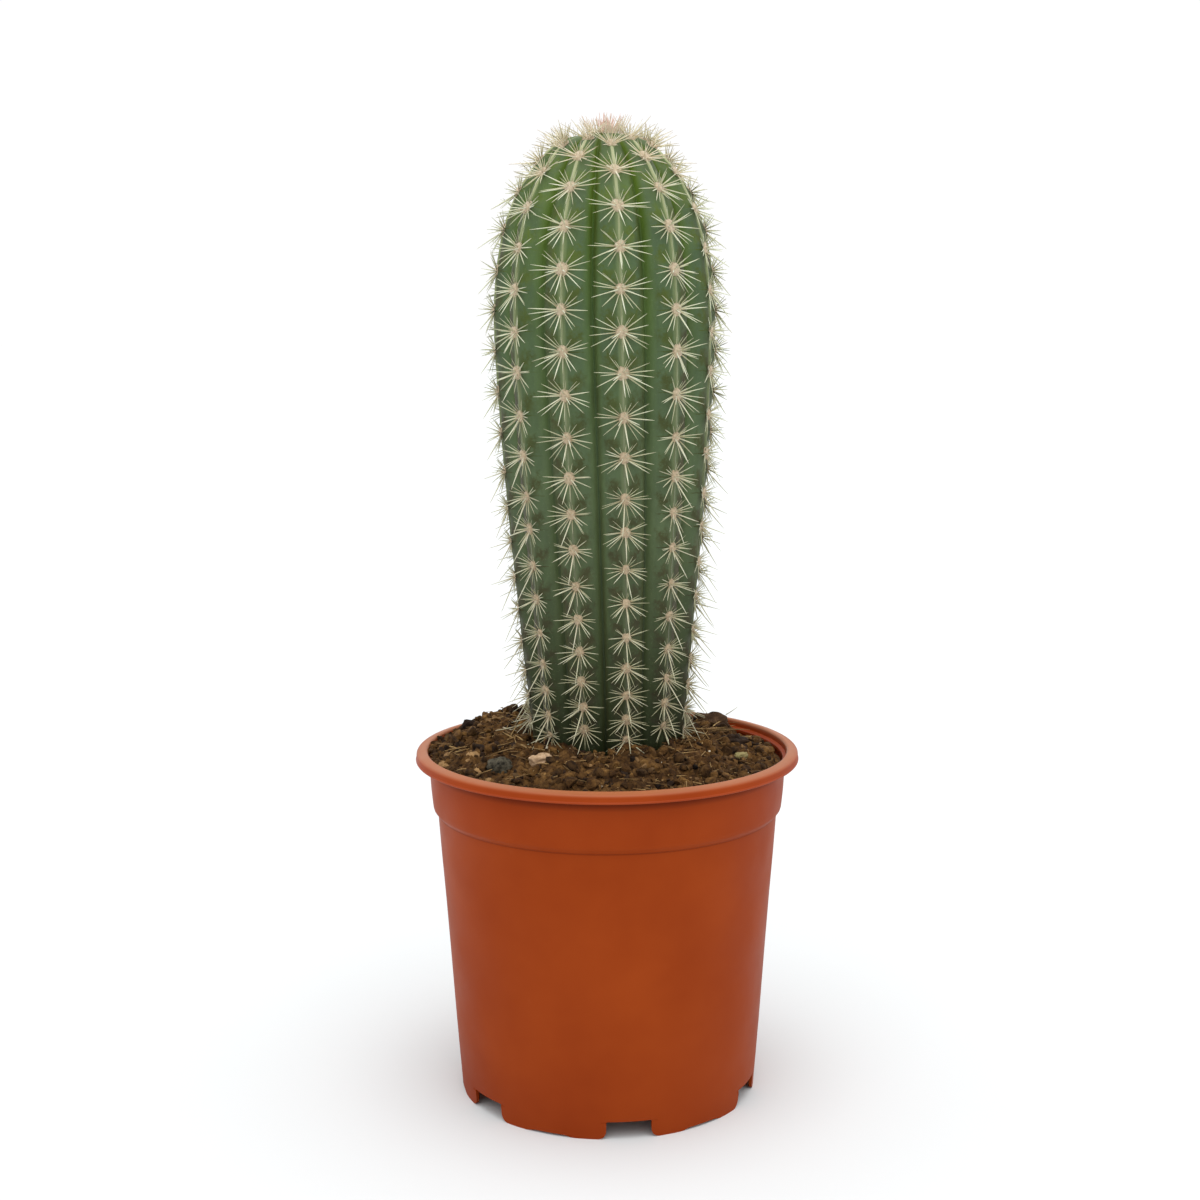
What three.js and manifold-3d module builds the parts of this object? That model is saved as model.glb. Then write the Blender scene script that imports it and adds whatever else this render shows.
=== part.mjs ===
// A tall ribbed cactus in a thin round nursery pot, as separate solids in millimetres.
// The origin is the centre of the pot's foot circle on the table, +Z is up, the front is -Y.
// Azimuths are in degrees from the front, growing towards +X.
import * as THREE from "three";
import { mergeVertices } from "three/addons/utils/BufferGeometryUtils.js";
import Module from "manifold-3d";

const wasm = await Module();
wasm.setup();

// Pot
const POT_HEIGHT = 155.5;
const RIM_RADIUS = 85;
const POT_SEGMENTS = 52;
const FOOT_RADIUS = 66.5;
const FOOT_WALL = 1.2;
const FLOOR_UNDERSIDE = 8.3;
const FLOOR_TOP = 9.4;
const NOTCH_COUNT = 6;
const NOTCH_FIRST_AZIMUTH = 7.5;
const NOTCH_WIDTH = 19.5;
const NOTCH_HEIGHT = 8;
const RELIEF_WIDTH = 20;
const RELIEF_HEIGHT = 1.6;
const DRAIN_RADIUS = 6;
const DRAIN_CIRCLE = 50;
const DRAIN_SIDES = 10;

// Stem
const RIB_COUNT = 12;
const RIB_PITCH = 360 / RIB_COUNT;
const RIB_FIRST_AZIMUTH = 7.5;
const TWIST_DEG = 5;
const TWIST_TOP = 350;
const TWIST_BOTTOM = 175;
const STEM_BASE_X = 0.7;
const STEM_TOP_X = -0.5;
const STEM_BASE_Z = 120;
const SOIL_AT_STEM = 160.5;
const STEM_TOP_Z = 422;
const SEAT_GAP = 0.35;

// Height, crest radius and furrow depth of each level of the stem, from the buried base to the crown.
const STEM_LEVELS = [
  [120, 32.6, 4.6],
  [158, 33.8, 4.8],
  [177, 35.2, 5.2],
  [195, 37.3, 5.6],
  [229, 40.4, 6.0],
  [258, 43.1, 6.4],
  [312, 46.8, 6.9],
  [344, 48.1, 7.0],
  [361, 47.0, 7.0],
  [377.9, 44.5, 6.8],
  [390.5, 40.6, 6.3],
  [400, 35.7, 5.6],
  [407.5, 30.6, 4.9],
  [413.5, 25.4, 4.1],
  [417.5, 20.8, 3.3],
  [420.3, 15.6, 2.4],
  [421.9, 9.6, 1.3],
  [422.3, 4.6, 0.5],
];
const STEM_APEX_Z = 422;

// One rib across: offsets from its crest in shares of half a pitch, from furrow to furrow.
const RIB_OFFSETS = [-1, -0.74, -0.38, 0, 0.38, 0.74];
// The rounded back of a rib and the sharp furrow beside it, as parts of the furrow depth.
const RIB_ROUND = 0.69;
const RIB_SHARP = 0.31;
const RIB_SHARP_POWER = 8;

// Areoles along a rib; odd ribs carry theirs half a pitch above those of the even ones.
const AREOLES_EVEN = [
  416.6, 405, 390.1, 373.6, 356.6, 339.3, 322.5, 304.3, 287.6, 270.5, 256.6, 240.8, 226.3, 211.4, 197.9,
  186.1, 175, 166,
];
const AREOLES_ODD = [
  419.2, 411, 397.9, 382.1, 364.6, 348.3, 331.4, 313.4, 295.8, 279.3, 263.9, 248.9, 233.4, 219.2, 205,
  192, 180.7, 170.5,
];
const PAD_HALF_WIDTH = 1.7;
const PAD_HALF_LENGTH = 1.6;
const PAD_THICKNESS = 0.75;
const PAD_CROWN = 0.5;
const PAD_INNER = 0.6;
const STRIP_HALF_WIDTH = 0.7;

// Spines: lengths towards the crown, sideways, down the rib, and of the two that stand out.
const SPINE_UP = 8.5;
const SPINE_SIDE = 13;
const SPINE_DOWN = 11;
const SPINE_CENTRAL = 12.5;
const YOUNG_SHARE = 0.8;
const SPINE_RISE = 27;
const CENTRAL_RISE = 55;
const LENGTH_SPREAD = 0.12;
const ANGLE_SPREAD = 8;
const PITCH_SHARE = 0.46;
const FURROW_SHARE = 0.96;

// Crown tuft
const TUFT_RADIUS = 7.5;
const TUFT_SHOULDER = 4.2;
const TUFT_SEAT = 0.7;
const TUFT_EDGE_DROP = 0.35;
const TUFT_EDGE_THICKNESS = 0.8;
const TUFT_SHOULDER_THICKNESS = 1.1;
const TUFT_RISE = 1.4;
const TUFT_SIDES = 12;
// Spines of the tuft: how many, their distance from the middle, length and lean.
const TUFT_RINGS = [
  [1, 0, 6.6, 8],
  [5, 2.6, 6.8, 20],
  [10, 5.6, 7.6, 38],
];
const TUFT_SPINE_RADIUS = 0.55;
const TUFT_ROOT = 0.7;
const TUFT_TURN = 0.35;

// Soil
const SOIL_SEGMENTS = 72;
const SOIL_GAP = 0.45;
const SOIL_RINGS = [0, 0.18, 0.38, 0.58, 0.8, 1];
const SOIL_ROUGH = 1.3;
const MOUND_CURVE = 0.6;
// Waves of the ground: turns per millimetre along X and Y, and phase.
const SOIL_WAVES = [
  [0.21, 0.05, 1.3],
  [-0.08, 0.19, 2.4],
  [0.43, -0.31, 2.1],
  [0.33, 0.57, 0.4],
];
const SOIL_HOLE_FLOOR = STEM_BASE_Z - SEAT_GAP;
// Height of the soil along the pot wall, every 30 degrees of azimuth from the front.
const SOIL_EDGE = [149, 148.6, 148, 147, 147, 155.5, 157, 157.5, 157.5, 153.5, 151, 149.5];
// Inner side of the pot from the floor up: radius and height.
const POT_INSIDE = [
  [64.5, FLOOR_TOP],
  [66, 10.6],
  [70.1, 66],
  [74.8, 127.8],
  [76.4, 130.3],
  [78.2, 151.9],
];
// Loose pieces on the soil: x, y, length, width, thickness, turn and tilt.
const CHIPS = [
  [-29, -38.5, 15, 8, 5.5, 12, 6],
  [-46, -41, 14, 12, 6, -15, -8],
  [51, 41, 14, 9, 12, 25, 10],
  [57, 8, 18, 7, 4, 40, 5],
  [-64, 33, 6, 5, 5, 30, 10],
  [-48, 51, 7, 5, 5, -40, 10],
  [-4, -54, 12, 9, 5, 5, -8],
  [18, -46, 10, 8, 5, -30, 8],
  [-57, -22, 10, 8, 5, 60, 10],
];
const CHIP_LIFT = 0.12;
const CHIP_TAPER = 0.72;

const RAD = Math.PI / 180;

// A repeatable stream of numbers from 0 to 1.
function stream(seed) {
  let state = seed >>> 0;
  return () => {
    state = (Math.imul(state, 1664525) + 1013904223) >>> 0;
    return state / 4294967296;
  };
}

function mix(a, b, t) {
  return a + (b - a) * t;
}

function clamp01(t) {
  return Math.min(1, Math.max(0, t));
}

// The point at a radius, an azimuth from the front and a height.
function polar(radius, azimuth, z) {
  return new THREE.Vector3(radius * Math.sin(azimuth * RAD), -radius * Math.cos(azimuth * RAD), z);
}

function stemCentreX(z) {
  const t = (z - SOIL_AT_STEM) / (STEM_TOP_Z - SOIL_AT_STEM);
  return mix(STEM_BASE_X, STEM_TOP_X, clamp01(t));
}

function twistAt(z) {
  return TWIST_DEG * clamp01((TWIST_TOP - z) / (TWIST_TOP - TWIST_BOTTOM));
}

// A closed body kept as points and triangles.
class Body {
  constructor() {
    this.points = [];
    this.faces = [];
  }
  point(v) {
    this.points.push(v.x, v.y, v.z);
    return this.points.length / 3 - 1;
  }
  tri(a, b, c) {
    this.faces.push(a, b, c);
  }
  quad(a, b, c, d) {
    this.tri(a, b, c);
    this.tri(a, c, d);
  }
  // The facet a, b, c drawn out into a three-sided spine that ends in tip.
  spine(a, b, c, tip) {
    const t = this.point(tip);
    this.tri(a, b, t);
    this.tri(b, c, t);
    this.tri(c, a, t);
  }
  at(i) {
    return new THREE.Vector3(this.points[3 * i], this.points[3 * i + 1], this.points[3 * i + 2]);
  }
  geometry() {
    const g = new THREE.BufferGeometry();
    g.setAttribute("position", new THREE.Float32BufferAttribute(this.points, 3));
    g.setIndex(this.faces);
    return g;
  }
}

function solid(geometry) {
  const bare = new THREE.BufferGeometry();
  bare.setAttribute("position", geometry.getAttribute("position"));
  if (geometry.index) {
    bare.setIndex(geometry.index);
  }
  const merged = mergeVertices(bare, 1e-4);
  return new wasm.Manifold(
    new wasm.Mesh({
      numProp: 3,
      vertProperties: new Float32Array(merged.attributes.position.array),
      triVerts: new Uint32Array(merged.index.array),
    }),
  );
}

function geometryOf(made) {
  const m = made.getMesh();
  const positions = new Float32Array(m.numVert * 3);
  for (let i = 0; i < m.numVert; i++) {
    positions.set(m.vertProperties.subarray(i * m.numProp, i * m.numProp + 3), i * 3);
  }
  const g = new THREE.BufferGeometry();
  g.setAttribute("position", new THREE.BufferAttribute(positions, 3));
  g.setIndex(new THREE.BufferAttribute(new Uint32Array(m.triVerts), 1));
  return g;
}

// The body of revolution of a closed outline of radius and height pairs.
function turned(outline, segments) {
  const points = outline.map(([r, z]) => new THREE.Vector2(r, z));
  points.push(points[0].clone());
  const g = new THREE.LatheGeometry(points, segments);
  g.rotateX(Math.PI / 2);
  return solid(g);
}

// Outer wall with the stepped collar, hooked lip, stacking ledge, inner wall, raised floor, skirt.
function potOutline() {
  const top = POT_HEIGHT;
  const outside = [
    [FOOT_RADIUS, 0],
    [71.2, 66],
    [75.9, 128],
    [77.5, 130.6],
    [79.4, top - 4.2],
    [81, top - 3.6],
    [81, top - 1.5],
    [83.9, top - 1.5],
    [83.9, top - 4],
    [RIM_RADIUS, top - 4],
    [RIM_RADIUS, top - 1.1],
    [84.4, top - 0.3],
    [83.6, top],
    [81.2, top],
    [80.2, top - 0.6],
    [79.9, top - 2.4],
    [78.4, top - 3.1],
  ];
  const inside = [...POT_INSIDE].reverse();
  const skirt = FOOT_RADIUS - FOOT_WALL;
  const under = [
    [0, FLOOR_TOP],
    [0, FLOOR_UNDERSIDE],
    [skirt, FLOOR_UNDERSIDE],
    [skirt, 0],
  ];
  return [...outside, ...inside, ...under];
}

// A block through the foot wall at an azimuth, from below the foot up to a height.
function footCut(width, height, azimuth) {
  const deep = 14;
  const below = 2;
  const g = new THREE.BoxGeometry(width, deep, height + below);
  g.translate(0, -FOOT_RADIUS, (height - below) / 2);
  g.rotateZ(azimuth * RAD);
  return solid(g);
}

function makePot() {
  let pot = turned(potOutline(), POT_SEGMENTS);
  const step = 360 / NOTCH_COUNT;
  for (let i = 0; i < NOTCH_COUNT; i++) {
    const azimuth = NOTCH_FIRST_AZIMUTH + i * step;
    pot = pot.subtract(footCut(NOTCH_WIDTH, NOTCH_HEIGHT, azimuth));
    pot = pot.subtract(footCut(RELIEF_WIDTH, RELIEF_HEIGHT, azimuth + step / 2));
    const drain = new THREE.CylinderGeometry(DRAIN_RADIUS, DRAIN_RADIUS, 6, DRAIN_SIDES);
    drain.rotateX(Math.PI / 2);
    const at = polar(DRAIN_CIRCLE, azimuth, FLOOR_TOP);
    drain.translate(at.x, at.y, at.z);
    pot = pot.subtract(solid(drain));
  }
  return geometryOf(pot);
}

// Outward normal, in radius and height, of the crest line at a level.
function levelNormal(i) {
  const last = STEM_LEVELS.length - 1;
  const [z0, r0] = STEM_LEVELS[Math.max(0, i - 1)];
  const [z1, r1] = i === last ? [STEM_APEX_Z, 0] : STEM_LEVELS[i + 1];
  const length = Math.hypot(z1 - z0, r1 - r0);
  return [(z1 - z0) / length, (r0 - r1) / length];
}

// A point of the stem's surface: level, azimuth of its rib and the offset from the crest in half pitches.
function stemPoint(i, ribAzimuth, offset, swell) {
  const [z, r, depth] = STEM_LEVELS[i];
  const share = RIB_ROUND * offset ** 2 + RIB_SHARP * offset ** RIB_SHARP_POWER;
  const [nr, nz] = levelNormal(i);
  const sink = depth * share - swell;
  const height = z - nz * sink;
  const azimuth = ribAzimuth + twistAt(z) + (offset * RIB_PITCH) / 2;
  const p = polar(r - nr * sink, azimuth, height);
  p.x += stemCentreX(z);
  return p;
}

// The ring of points round the stem at a level, swollen outwards by a clearance.
function stemRing(i, swell) {
  const ring = [];
  for (let rib = 0; rib < RIB_COUNT; rib++) {
    const azimuth = RIB_FIRST_AZIMUTH + rib * RIB_PITCH;
    for (const offset of RIB_OFFSETS) {
      ring.push(stemPoint(i, azimuth, offset, swell));
    }
  }
  return ring;
}

function makeStem() {
  const body = new Body();
  const rings = STEM_LEVELS.map((_, i) => stemRing(i, 0).map((p) => body.point(p)));
  const around = rings[0].length;
  for (let i = 0; i + 1 < rings.length; i++) {
    for (let j = 0; j < around; j++) {
      const k = (j + 1) % around;
      body.quad(rings[i][j], rings[i][k], rings[i + 1][k], rings[i + 1][j]);
    }
  }
  const foot = body.point(new THREE.Vector3(STEM_BASE_X, 0, STEM_BASE_Z));
  const apex = body.point(new THREE.Vector3(STEM_TOP_X, 0, STEM_APEX_Z));
  const top = rings[rings.length - 1];
  for (let j = 0; j < around; j++) {
    const k = (j + 1) % around;
    body.tri(foot, rings[0][k], rings[0][j]);
    body.tri(apex, top[j], top[k]);
  }
  return geometryOf(solid(body.geometry()));
}

// The crest line of a rib at a height, exactly on the stem's own facets.
function crestPoint(rib, z) {
  const azimuth = RIB_FIRST_AZIMUTH + rib * RIB_PITCH;
  let i = 0;
  while (i + 2 < STEM_LEVELS.length && STEM_LEVELS[i + 1][0] < z) {
    i++;
  }
  const t = (z - STEM_LEVELS[i][0]) / (STEM_LEVELS[i + 1][0] - STEM_LEVELS[i][0]);
  return stemPoint(i, azimuth, 0, 0).lerp(stemPoint(i + 1, azimuth, 0, 0), t);
}

// How far the crest bulges above the straight line between two of its points.
function bulge(rib, z0, z1) {
  const a = crestPoint(rib, z0);
  const b = crestPoint(rib, z1);
  const along = new THREE.Vector3().subVectors(b, a).normalize();
  const steps = 12;
  let most = 0;
  for (let s = 1; s < steps; s++) {
    const p = crestPoint(rib, mix(z0, z1, s / steps)).sub(a);
    most = Math.max(most, p.addScaledVector(along, -p.dot(along)).length());
  }
  return most;
}

// Directions at an areole: sideways, up the rib and out of the stem.
function crestFrame(rib, z) {
  const half = 1.5;
  const up = crestPoint(rib, z + half).sub(crestPoint(rib, z - half)).normalize();
  const azimuth = RIB_FIRST_AZIMUTH + rib * RIB_PITCH + twistAt(z);
  const side = polar(1, azimuth + 90, 0);
  side.addScaledVector(up, -side.dot(up)).normalize();
  const out = new THREE.Vector3().crossVectors(side, up).normalize();
  return { side, up, out };
}

// Length of a spine that leaves its areole at a turn from straight up, before any shortening.
function spineLength(turn) {
  const sideways = Math.abs(Math.sin(turn));
  return Math.cos(turn) > 0 ? mix(SPINE_UP, SPINE_SIDE, sideways) : mix(SPINE_DOWN, SPINE_SIDE, sideways);
}

// The tip of a spine, shortened so that it meets no spine of the next areole or the next rib.
function spineTip(root, frame, turn, rise, length, pitch, radius) {
  const flat = Math.cos(rise);
  const lift = Math.sin(rise);
  const along = Math.abs(flat * Math.cos(turn));
  const across = Math.abs(flat * Math.sin(turn));
  const slope = Math.tan((RIB_PITCH / 2) * RAD);
  let reach = length;
  if (along * reach > PITCH_SHARE * pitch) {
    reach = (PITCH_SHARE * pitch) / along;
  }
  const furrow = across - lift * slope;
  if (furrow > 0) {
    reach = Math.min(reach, (FURROW_SHARE * radius * slope) / furrow);
  }
  const tip = root.clone();
  tip.addScaledVector(frame.side, reach * flat * Math.sin(turn));
  tip.addScaledVector(frame.up, reach * flat * Math.cos(turn));
  tip.addScaledVector(frame.out, reach * lift);
  return tip;
}

// All the areoles of one rib on their pale felt line, each facet of a pad drawn out into a spine.
function makeRibSpines(rib) {
  const heights = rib % 2 === 0 ? AREOLES_EVEN : AREOLES_ODD;
  const random = stream(1000 + rib);
  const body = new Body();
  const last = heights.length - 1;
  let above = null;
  heights.forEach((z, n) => {
    const toUpper = n > 0 ? bulge(rib, z, heights[n - 1]) : 0;
    const toLower = n < last ? bulge(rib, heights[n + 1], z) : 0;
    const seat = SEAT_GAP + Math.max(toUpper, toLower);
    const frame = crestFrame(rib, z);
    const centre = crestPoint(rib, z);
    const place = (s, u, h) =>
      centre
        .clone()
        .addScaledVector(frame.side, s)
        .addScaledVector(frame.up, u)
        .addScaledVector(frame.out, seat + h);
    const w = STRIP_HALF_WIDTH;
    const l = PAD_HALF_LENGTH;
    const outer = [
      [w, l],
      [PAD_HALF_WIDTH, 0],
      [w, -l],
      [-w, -l],
      [-PAD_HALF_WIDTH, 0],
      [-w, l],
    ].map(([s, u]) => body.point(place(s, u, PAD_THICKNESS)));
    const m = PAD_INNER;
    const high = PAD_THICKNESS + PAD_CROWN;
    const inner = [
      [0, m],
      [m, 0],
      [0, -m],
      [-m, 0],
    ].map(([s, u]) => body.point(place(s, u, high)));
    const keel = body.point(place(0, 0, 0));
    const facets = [
      [outer[0], outer[5], inner[0]],
      [outer[0], inner[0], inner[1]],
      [outer[1], outer[0], inner[1]],
      [outer[2], outer[1], inner[1]],
      [outer[2], inner[1], inner[2]],
      [outer[3], outer[2], inner[2]],
      [outer[3], inner[2], inner[3]],
      [outer[4], outer[3], inner[3]],
      [outer[5], outer[4], inner[3]],
      [outer[5], inner[3], inner[0]],
    ];
    const pitch = centre.distanceTo(crestPoint(rib, n > 0 ? heights[n - 1] : heights[1]));
    const below = n < last ? centre.distanceTo(crestPoint(rib, heights[n + 1])) : z - SOIL_AT_STEM;
    const radius = Math.hypot(centre.x - stemCentreX(z), centre.y);
    const age = n === 0 ? YOUNG_SHARE : 1;
    const grow = ([a, b, c], turn, rise, length) => {
      const root = body.at(a).add(body.at(b)).add(body.at(c)).divideScalar(3);
      const near = Math.cos(turn) > 0 ? pitch : below;
      const swing = (random() - 0.5) * 2 * ANGLE_SPREAD * RAD;
      const size = age * length * (1 + (random() - 0.5) * 2 * LENGTH_SPREAD);
      body.spine(a, b, c, spineTip(root, frame, turn + swing, rise * RAD, size, near, radius));
    };
    facets.forEach((facet, i) => {
      const turn = (i / facets.length) * 2 * Math.PI;
      grow(facet, turn, SPINE_RISE + (random() - 0.5) * ANGLE_SPREAD, spineLength(turn));
    });
    grow([inner[0], inner[3], inner[1]], 0, CENTRAL_RISE, SPINE_CENTRAL);
    grow([inner[1], inner[3], inner[2]], Math.PI, CENTRAL_RISE, SPINE_CENTRAL);
    // Underside of the pad, from its rim in to the keel.
    body.tri(keel, outer[0], outer[1]);
    body.tri(keel, outer[1], outer[2]);
    body.tri(keel, outer[3], outer[4]);
    body.tri(keel, outer[4], outer[5]);
    if (above) {
      // Felt line up to the areole above.
      body.quad(outer[5], outer[0], above.outer[2], above.outer[3]);
      body.quad(outer[0], keel, above.keel, above.outer[2]);
      body.quad(keel, outer[5], above.outer[3], above.keel);
    } else {
      body.tri(keel, outer[5], outer[0]);
    }
    if (n === last) {
      body.tri(keel, outer[2], outer[3]);
    }
    above = { outer, keel };
  });
  return geometryOf(solid(body.geometry()));
}

// A slim three-sided spine with its root sunk below its foot point.
function freeSpine(foot, direction, length, radius) {
  const g = new THREE.ConeGeometry(radius, length + TUFT_ROOT, 3);
  g.translate(0, (length - TUFT_ROOT) / 2, 0);
  const turn = new THREE.Quaternion().setFromUnitVectors(new THREE.Vector3(0, 1, 0), direction);
  g.applyQuaternion(turn);
  g.translate(foot.x, foot.y, foot.z);
  return solid(g);
}

// Young spines in the middle of the crown, on their own low felt cushion.
function makeCrown() {
  const random = stream(77);
  const base = STEM_APEX_Z + TUFT_SEAT;
  const edge = base - TUFT_EDGE_DROP;
  let tuft = turned(
    [
      [0, base],
      [TUFT_SHOULDER, base],
      [TUFT_RADIUS, edge],
      [TUFT_RADIUS, edge + TUFT_EDGE_THICKNESS],
      [TUFT_SHOULDER, base + TUFT_SHOULDER_THICKNESS],
      [0, base + TUFT_RISE],
    ],
    TUFT_SIDES,
  );
  tuft = tuft.translate([STEM_TOP_X, 0, 0]);
  for (const [count, radius, length, lean] of TUFT_RINGS) {
    for (let i = 0; i < count; i++) {
      const azimuth = ((i + TUFT_TURN) / count) * 360 + (random() - 0.5) * ANGLE_SPREAD;
      const height = base + mix(TUFT_RISE, TUFT_EDGE_THICKNESS, radius / TUFT_RADIUS);
      const foot = polar(radius, azimuth, height);
      foot.x += STEM_TOP_X;
      const tilt = (lean + (random() - 0.5) * ANGLE_SPREAD) * RAD;
      const direction = polar(Math.sin(tilt), azimuth, Math.cos(tilt)).normalize();
      const size = length * (1 + (random() - 0.5) * 2 * LENGTH_SPREAD);
      tuft = tuft.add(freeSpine(foot, direction, size, TUFT_SPINE_RADIUS));
    }
  }
  return geometryOf(tuft);
}

function edgeHeight(azimuth) {
  const step = 360 / SOIL_EDGE.length;
  const at = (((azimuth % 360) + 360) % 360) / step;
  const i = Math.floor(at);
  const next = (i + 1) % SOIL_EDGE.length;
  return mix(SOIL_EDGE[i], SOIL_EDGE[next], at - i);
}

// Radius of the pot's inner wall at a height.
function insideRadius(z) {
  let i = 0;
  while (i + 2 < POT_INSIDE.length && POT_INSIDE[i + 1][1] < z) {
    i++;
  }
  const [r0, z0] = POT_INSIDE[i];
  const [r1, z1] = POT_INSIDE[i + 1];
  return mix(r0, r1, clamp01((z - z0) / (z1 - z0)));
}

// Uneven ground, from -1 to 1: the mean of a few crossed waves.
function rough(x, y) {
  let sum = 0;
  for (const [alongX, alongY, phase] of SOIL_WAVES) {
    sum += Math.sin(x * alongX + y * alongY + phase);
  }
  return sum / SOIL_WAVES.length;
}

function soilHeight(x, y) {
  const radius = Math.hypot(x, y);
  const azimuth = Math.atan2(x, -y) / RAD;
  const edge = POT_INSIDE[POT_INSIDE.length - 1][0];
  const inner = STEM_LEVELS[1][1];
  const t = clamp01((radius - inner) / (edge - inner));
  const mound = mix(SOIL_AT_STEM, edgeHeight(azimuth), t * t * (1 + MOUND_CURVE - MOUND_CURVE * t));
  return mound + SOIL_ROUGH * rough(x, y) * Math.sin(Math.PI * t);
}

function makeSoil() {
  const body = new Body();
  const hole = stemRing(1, SEAT_GAP);
  const layers = [];
  layers.push(hole.map((p) => body.point(new THREE.Vector3(p.x, p.y, SOIL_HOLE_FLOOR))));
  for (const share of SOIL_RINGS) {
    layers.push(
      hole.map((p, j) => {
        const azimuth = Math.atan2(p.x, -p.y) / RAD;
        const wall = polar(insideRadius(edgeHeight(azimuth)) - SOIL_GAP, azimuth, 0);
        const x = mix(p.x, wall.x, share);
        const y = mix(p.y, wall.y, share);
        return body.point(new THREE.Vector3(x, y, soilHeight(x, y)));
      }),
    );
  }
  // Down the pot's inner wall to the floor.
  const down = [...POT_INSIDE].reverse().slice(1);
  for (const [r, z] of down) {
    const floor = z === FLOOR_TOP ? SEAT_GAP : 0;
    layers.push(
      hole.map((p) => {
        const azimuth = Math.atan2(p.x, -p.y) / RAD;
        return body.point(polar(r - SOIL_GAP, azimuth, z + floor));
      }),
    );
  }
  for (let i = 0; i + 1 < layers.length; i++) {
    for (let j = 0; j < SOIL_SEGMENTS; j++) {
      const k = (j + 1) % SOIL_SEGMENTS;
      body.quad(layers[i][j], layers[i + 1][j], layers[i + 1][k], layers[i][k]);
    }
  }
  const holeFloor = body.point(new THREE.Vector3(STEM_BASE_X, 0, SOIL_HOLE_FLOOR));
  const under = body.point(new THREE.Vector3(0, 0, FLOOR_TOP + SEAT_GAP));
  const bottom = layers[layers.length - 1];
  for (let j = 0; j < SOIL_SEGMENTS; j++) {
    const k = (j + 1) % SOIL_SEGMENTS;
    body.tri(holeFloor, layers[0][j], layers[0][k]);
    body.tri(under, bottom[k], bottom[j]);
  }
  let soil = solid(body.geometry());
  for (const [x, y, length, width, thickness, turn, tilt] of CHIPS) {
    const g = new THREE.BoxGeometry(length, width, thickness);
    const corners = g.getAttribute("position");
    for (let i = 0; i < corners.count; i++) {
      if (corners.getZ(i) > 0) {
        corners.setXY(i, corners.getX(i) * CHIP_TAPER, corners.getY(i) * CHIP_TAPER);
      }
    }
    g.rotateY(tilt * RAD);
    g.rotateZ(turn * RAD);
    g.translate(x, y, soilHeight(x, y) + thickness * CHIP_LIFT);
    soil = soil.add(solid(g));
  }
  return geometryOf(soil);
}

const group = new THREE.Group();

function addNode(name, geometry, color, roughness) {
  const material = new THREE.MeshStandardMaterial({ color, roughness, metalness: 0 });
  const mesh = new THREE.Mesh(geometry, material);
  mesh.name = name;
  group.add(mesh);
}

addNode("pot", makePot(), 0xb5512a, 0.5);
addNode("soil", makeSoil(), 0x5f4630, 0.95);
addNode("stem", makeStem(), 0x4c6b3f, 0.6);
for (let rib = 0; rib < RIB_COUNT; rib++) {
  const label = String(rib + 1).padStart(2, "0");
  addNode("rib_spines_" + label, makeRibSpines(rib), 0xd2c49b, 0.7);
}
addNode("crown_spines", makeCrown(), 0xcd9678, 0.7);

export default group;
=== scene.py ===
"""A tall ribbed cactus in a thin round nursery pot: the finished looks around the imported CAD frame.

Lengths are in metres. Azimuths are in degrees from the front, -Y, growing towards +X.
"""

import math

import bpy
import numpy as np
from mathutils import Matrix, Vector


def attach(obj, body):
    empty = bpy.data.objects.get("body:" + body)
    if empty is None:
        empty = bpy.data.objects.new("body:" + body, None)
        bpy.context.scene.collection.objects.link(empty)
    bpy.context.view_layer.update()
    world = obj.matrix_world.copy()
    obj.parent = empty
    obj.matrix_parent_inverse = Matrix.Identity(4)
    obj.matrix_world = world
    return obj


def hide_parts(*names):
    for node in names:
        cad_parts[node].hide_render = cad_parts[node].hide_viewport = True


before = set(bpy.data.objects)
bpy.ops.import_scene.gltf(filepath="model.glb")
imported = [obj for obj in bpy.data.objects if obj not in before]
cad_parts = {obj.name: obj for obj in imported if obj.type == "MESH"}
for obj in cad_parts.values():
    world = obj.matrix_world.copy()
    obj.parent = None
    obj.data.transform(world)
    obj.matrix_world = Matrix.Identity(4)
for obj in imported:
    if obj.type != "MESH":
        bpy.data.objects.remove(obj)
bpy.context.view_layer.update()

# Camera, where the photograph was taken from.
CAMERA_AT = (-0.0025, -0.8079, 0.3467)
CAMERA_PITCH = 8.80
CAMERA_ROLL = 0.2
CAMERA_LENS = 55.5
SENSOR_WIDTH = 36

# Stem
RIB_COUNT = 12
RIB_PITCH = 360 / RIB_COUNT
RIB_FIRST_AZIMUTH = 7.5
TWIST_DEG = 5
TWIST_TOP = 0.350
TWIST_BOTTOM = 0.175
STEM_BASE_X = 0.0007
STEM_TOP_X = -0.0005
SOIL_AT_STEM = 0.1605
STEM_TOP_Z = 0.422
RIB_ROUND = 0.69
RIB_SHARP = 0.31
RIB_SHARP_POWER = 8
STEM_FOOT_Z = 0.146
# Height, crest radius and furrow depth at each level.
STEM_LEVELS = [
    (0.1200, 0.0326, 0.0046), (0.1580, 0.0338, 0.0048), (0.1770, 0.0352, 0.0052), (0.1950, 0.0373, 0.0056),
    (0.2290, 0.0404, 0.0060), (0.2580, 0.0431, 0.0064), (0.3120, 0.0468, 0.0069), (0.3440, 0.0481, 0.0070),
    (0.3610, 0.0470, 0.0070), (0.3779, 0.0445, 0.0068), (0.3905, 0.0406, 0.0063), (0.4000, 0.0357, 0.0056),
    (0.4075, 0.0306, 0.0049), (0.4135, 0.0254, 0.0041), (0.4175, 0.0208, 0.0033), (0.4203, 0.0156, 0.0024),
    (0.4219, 0.0096, 0.0013), (0.4223, 0.0046, 0.0005), (STEM_TOP_Z, 0.0, 0.0),
]
STEM_ROWS = 250
RIB_COLUMNS = 30
AREOLE_SWELL = 0.0007
AREOLE_SWELL_LENGTH = 0.0042
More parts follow.
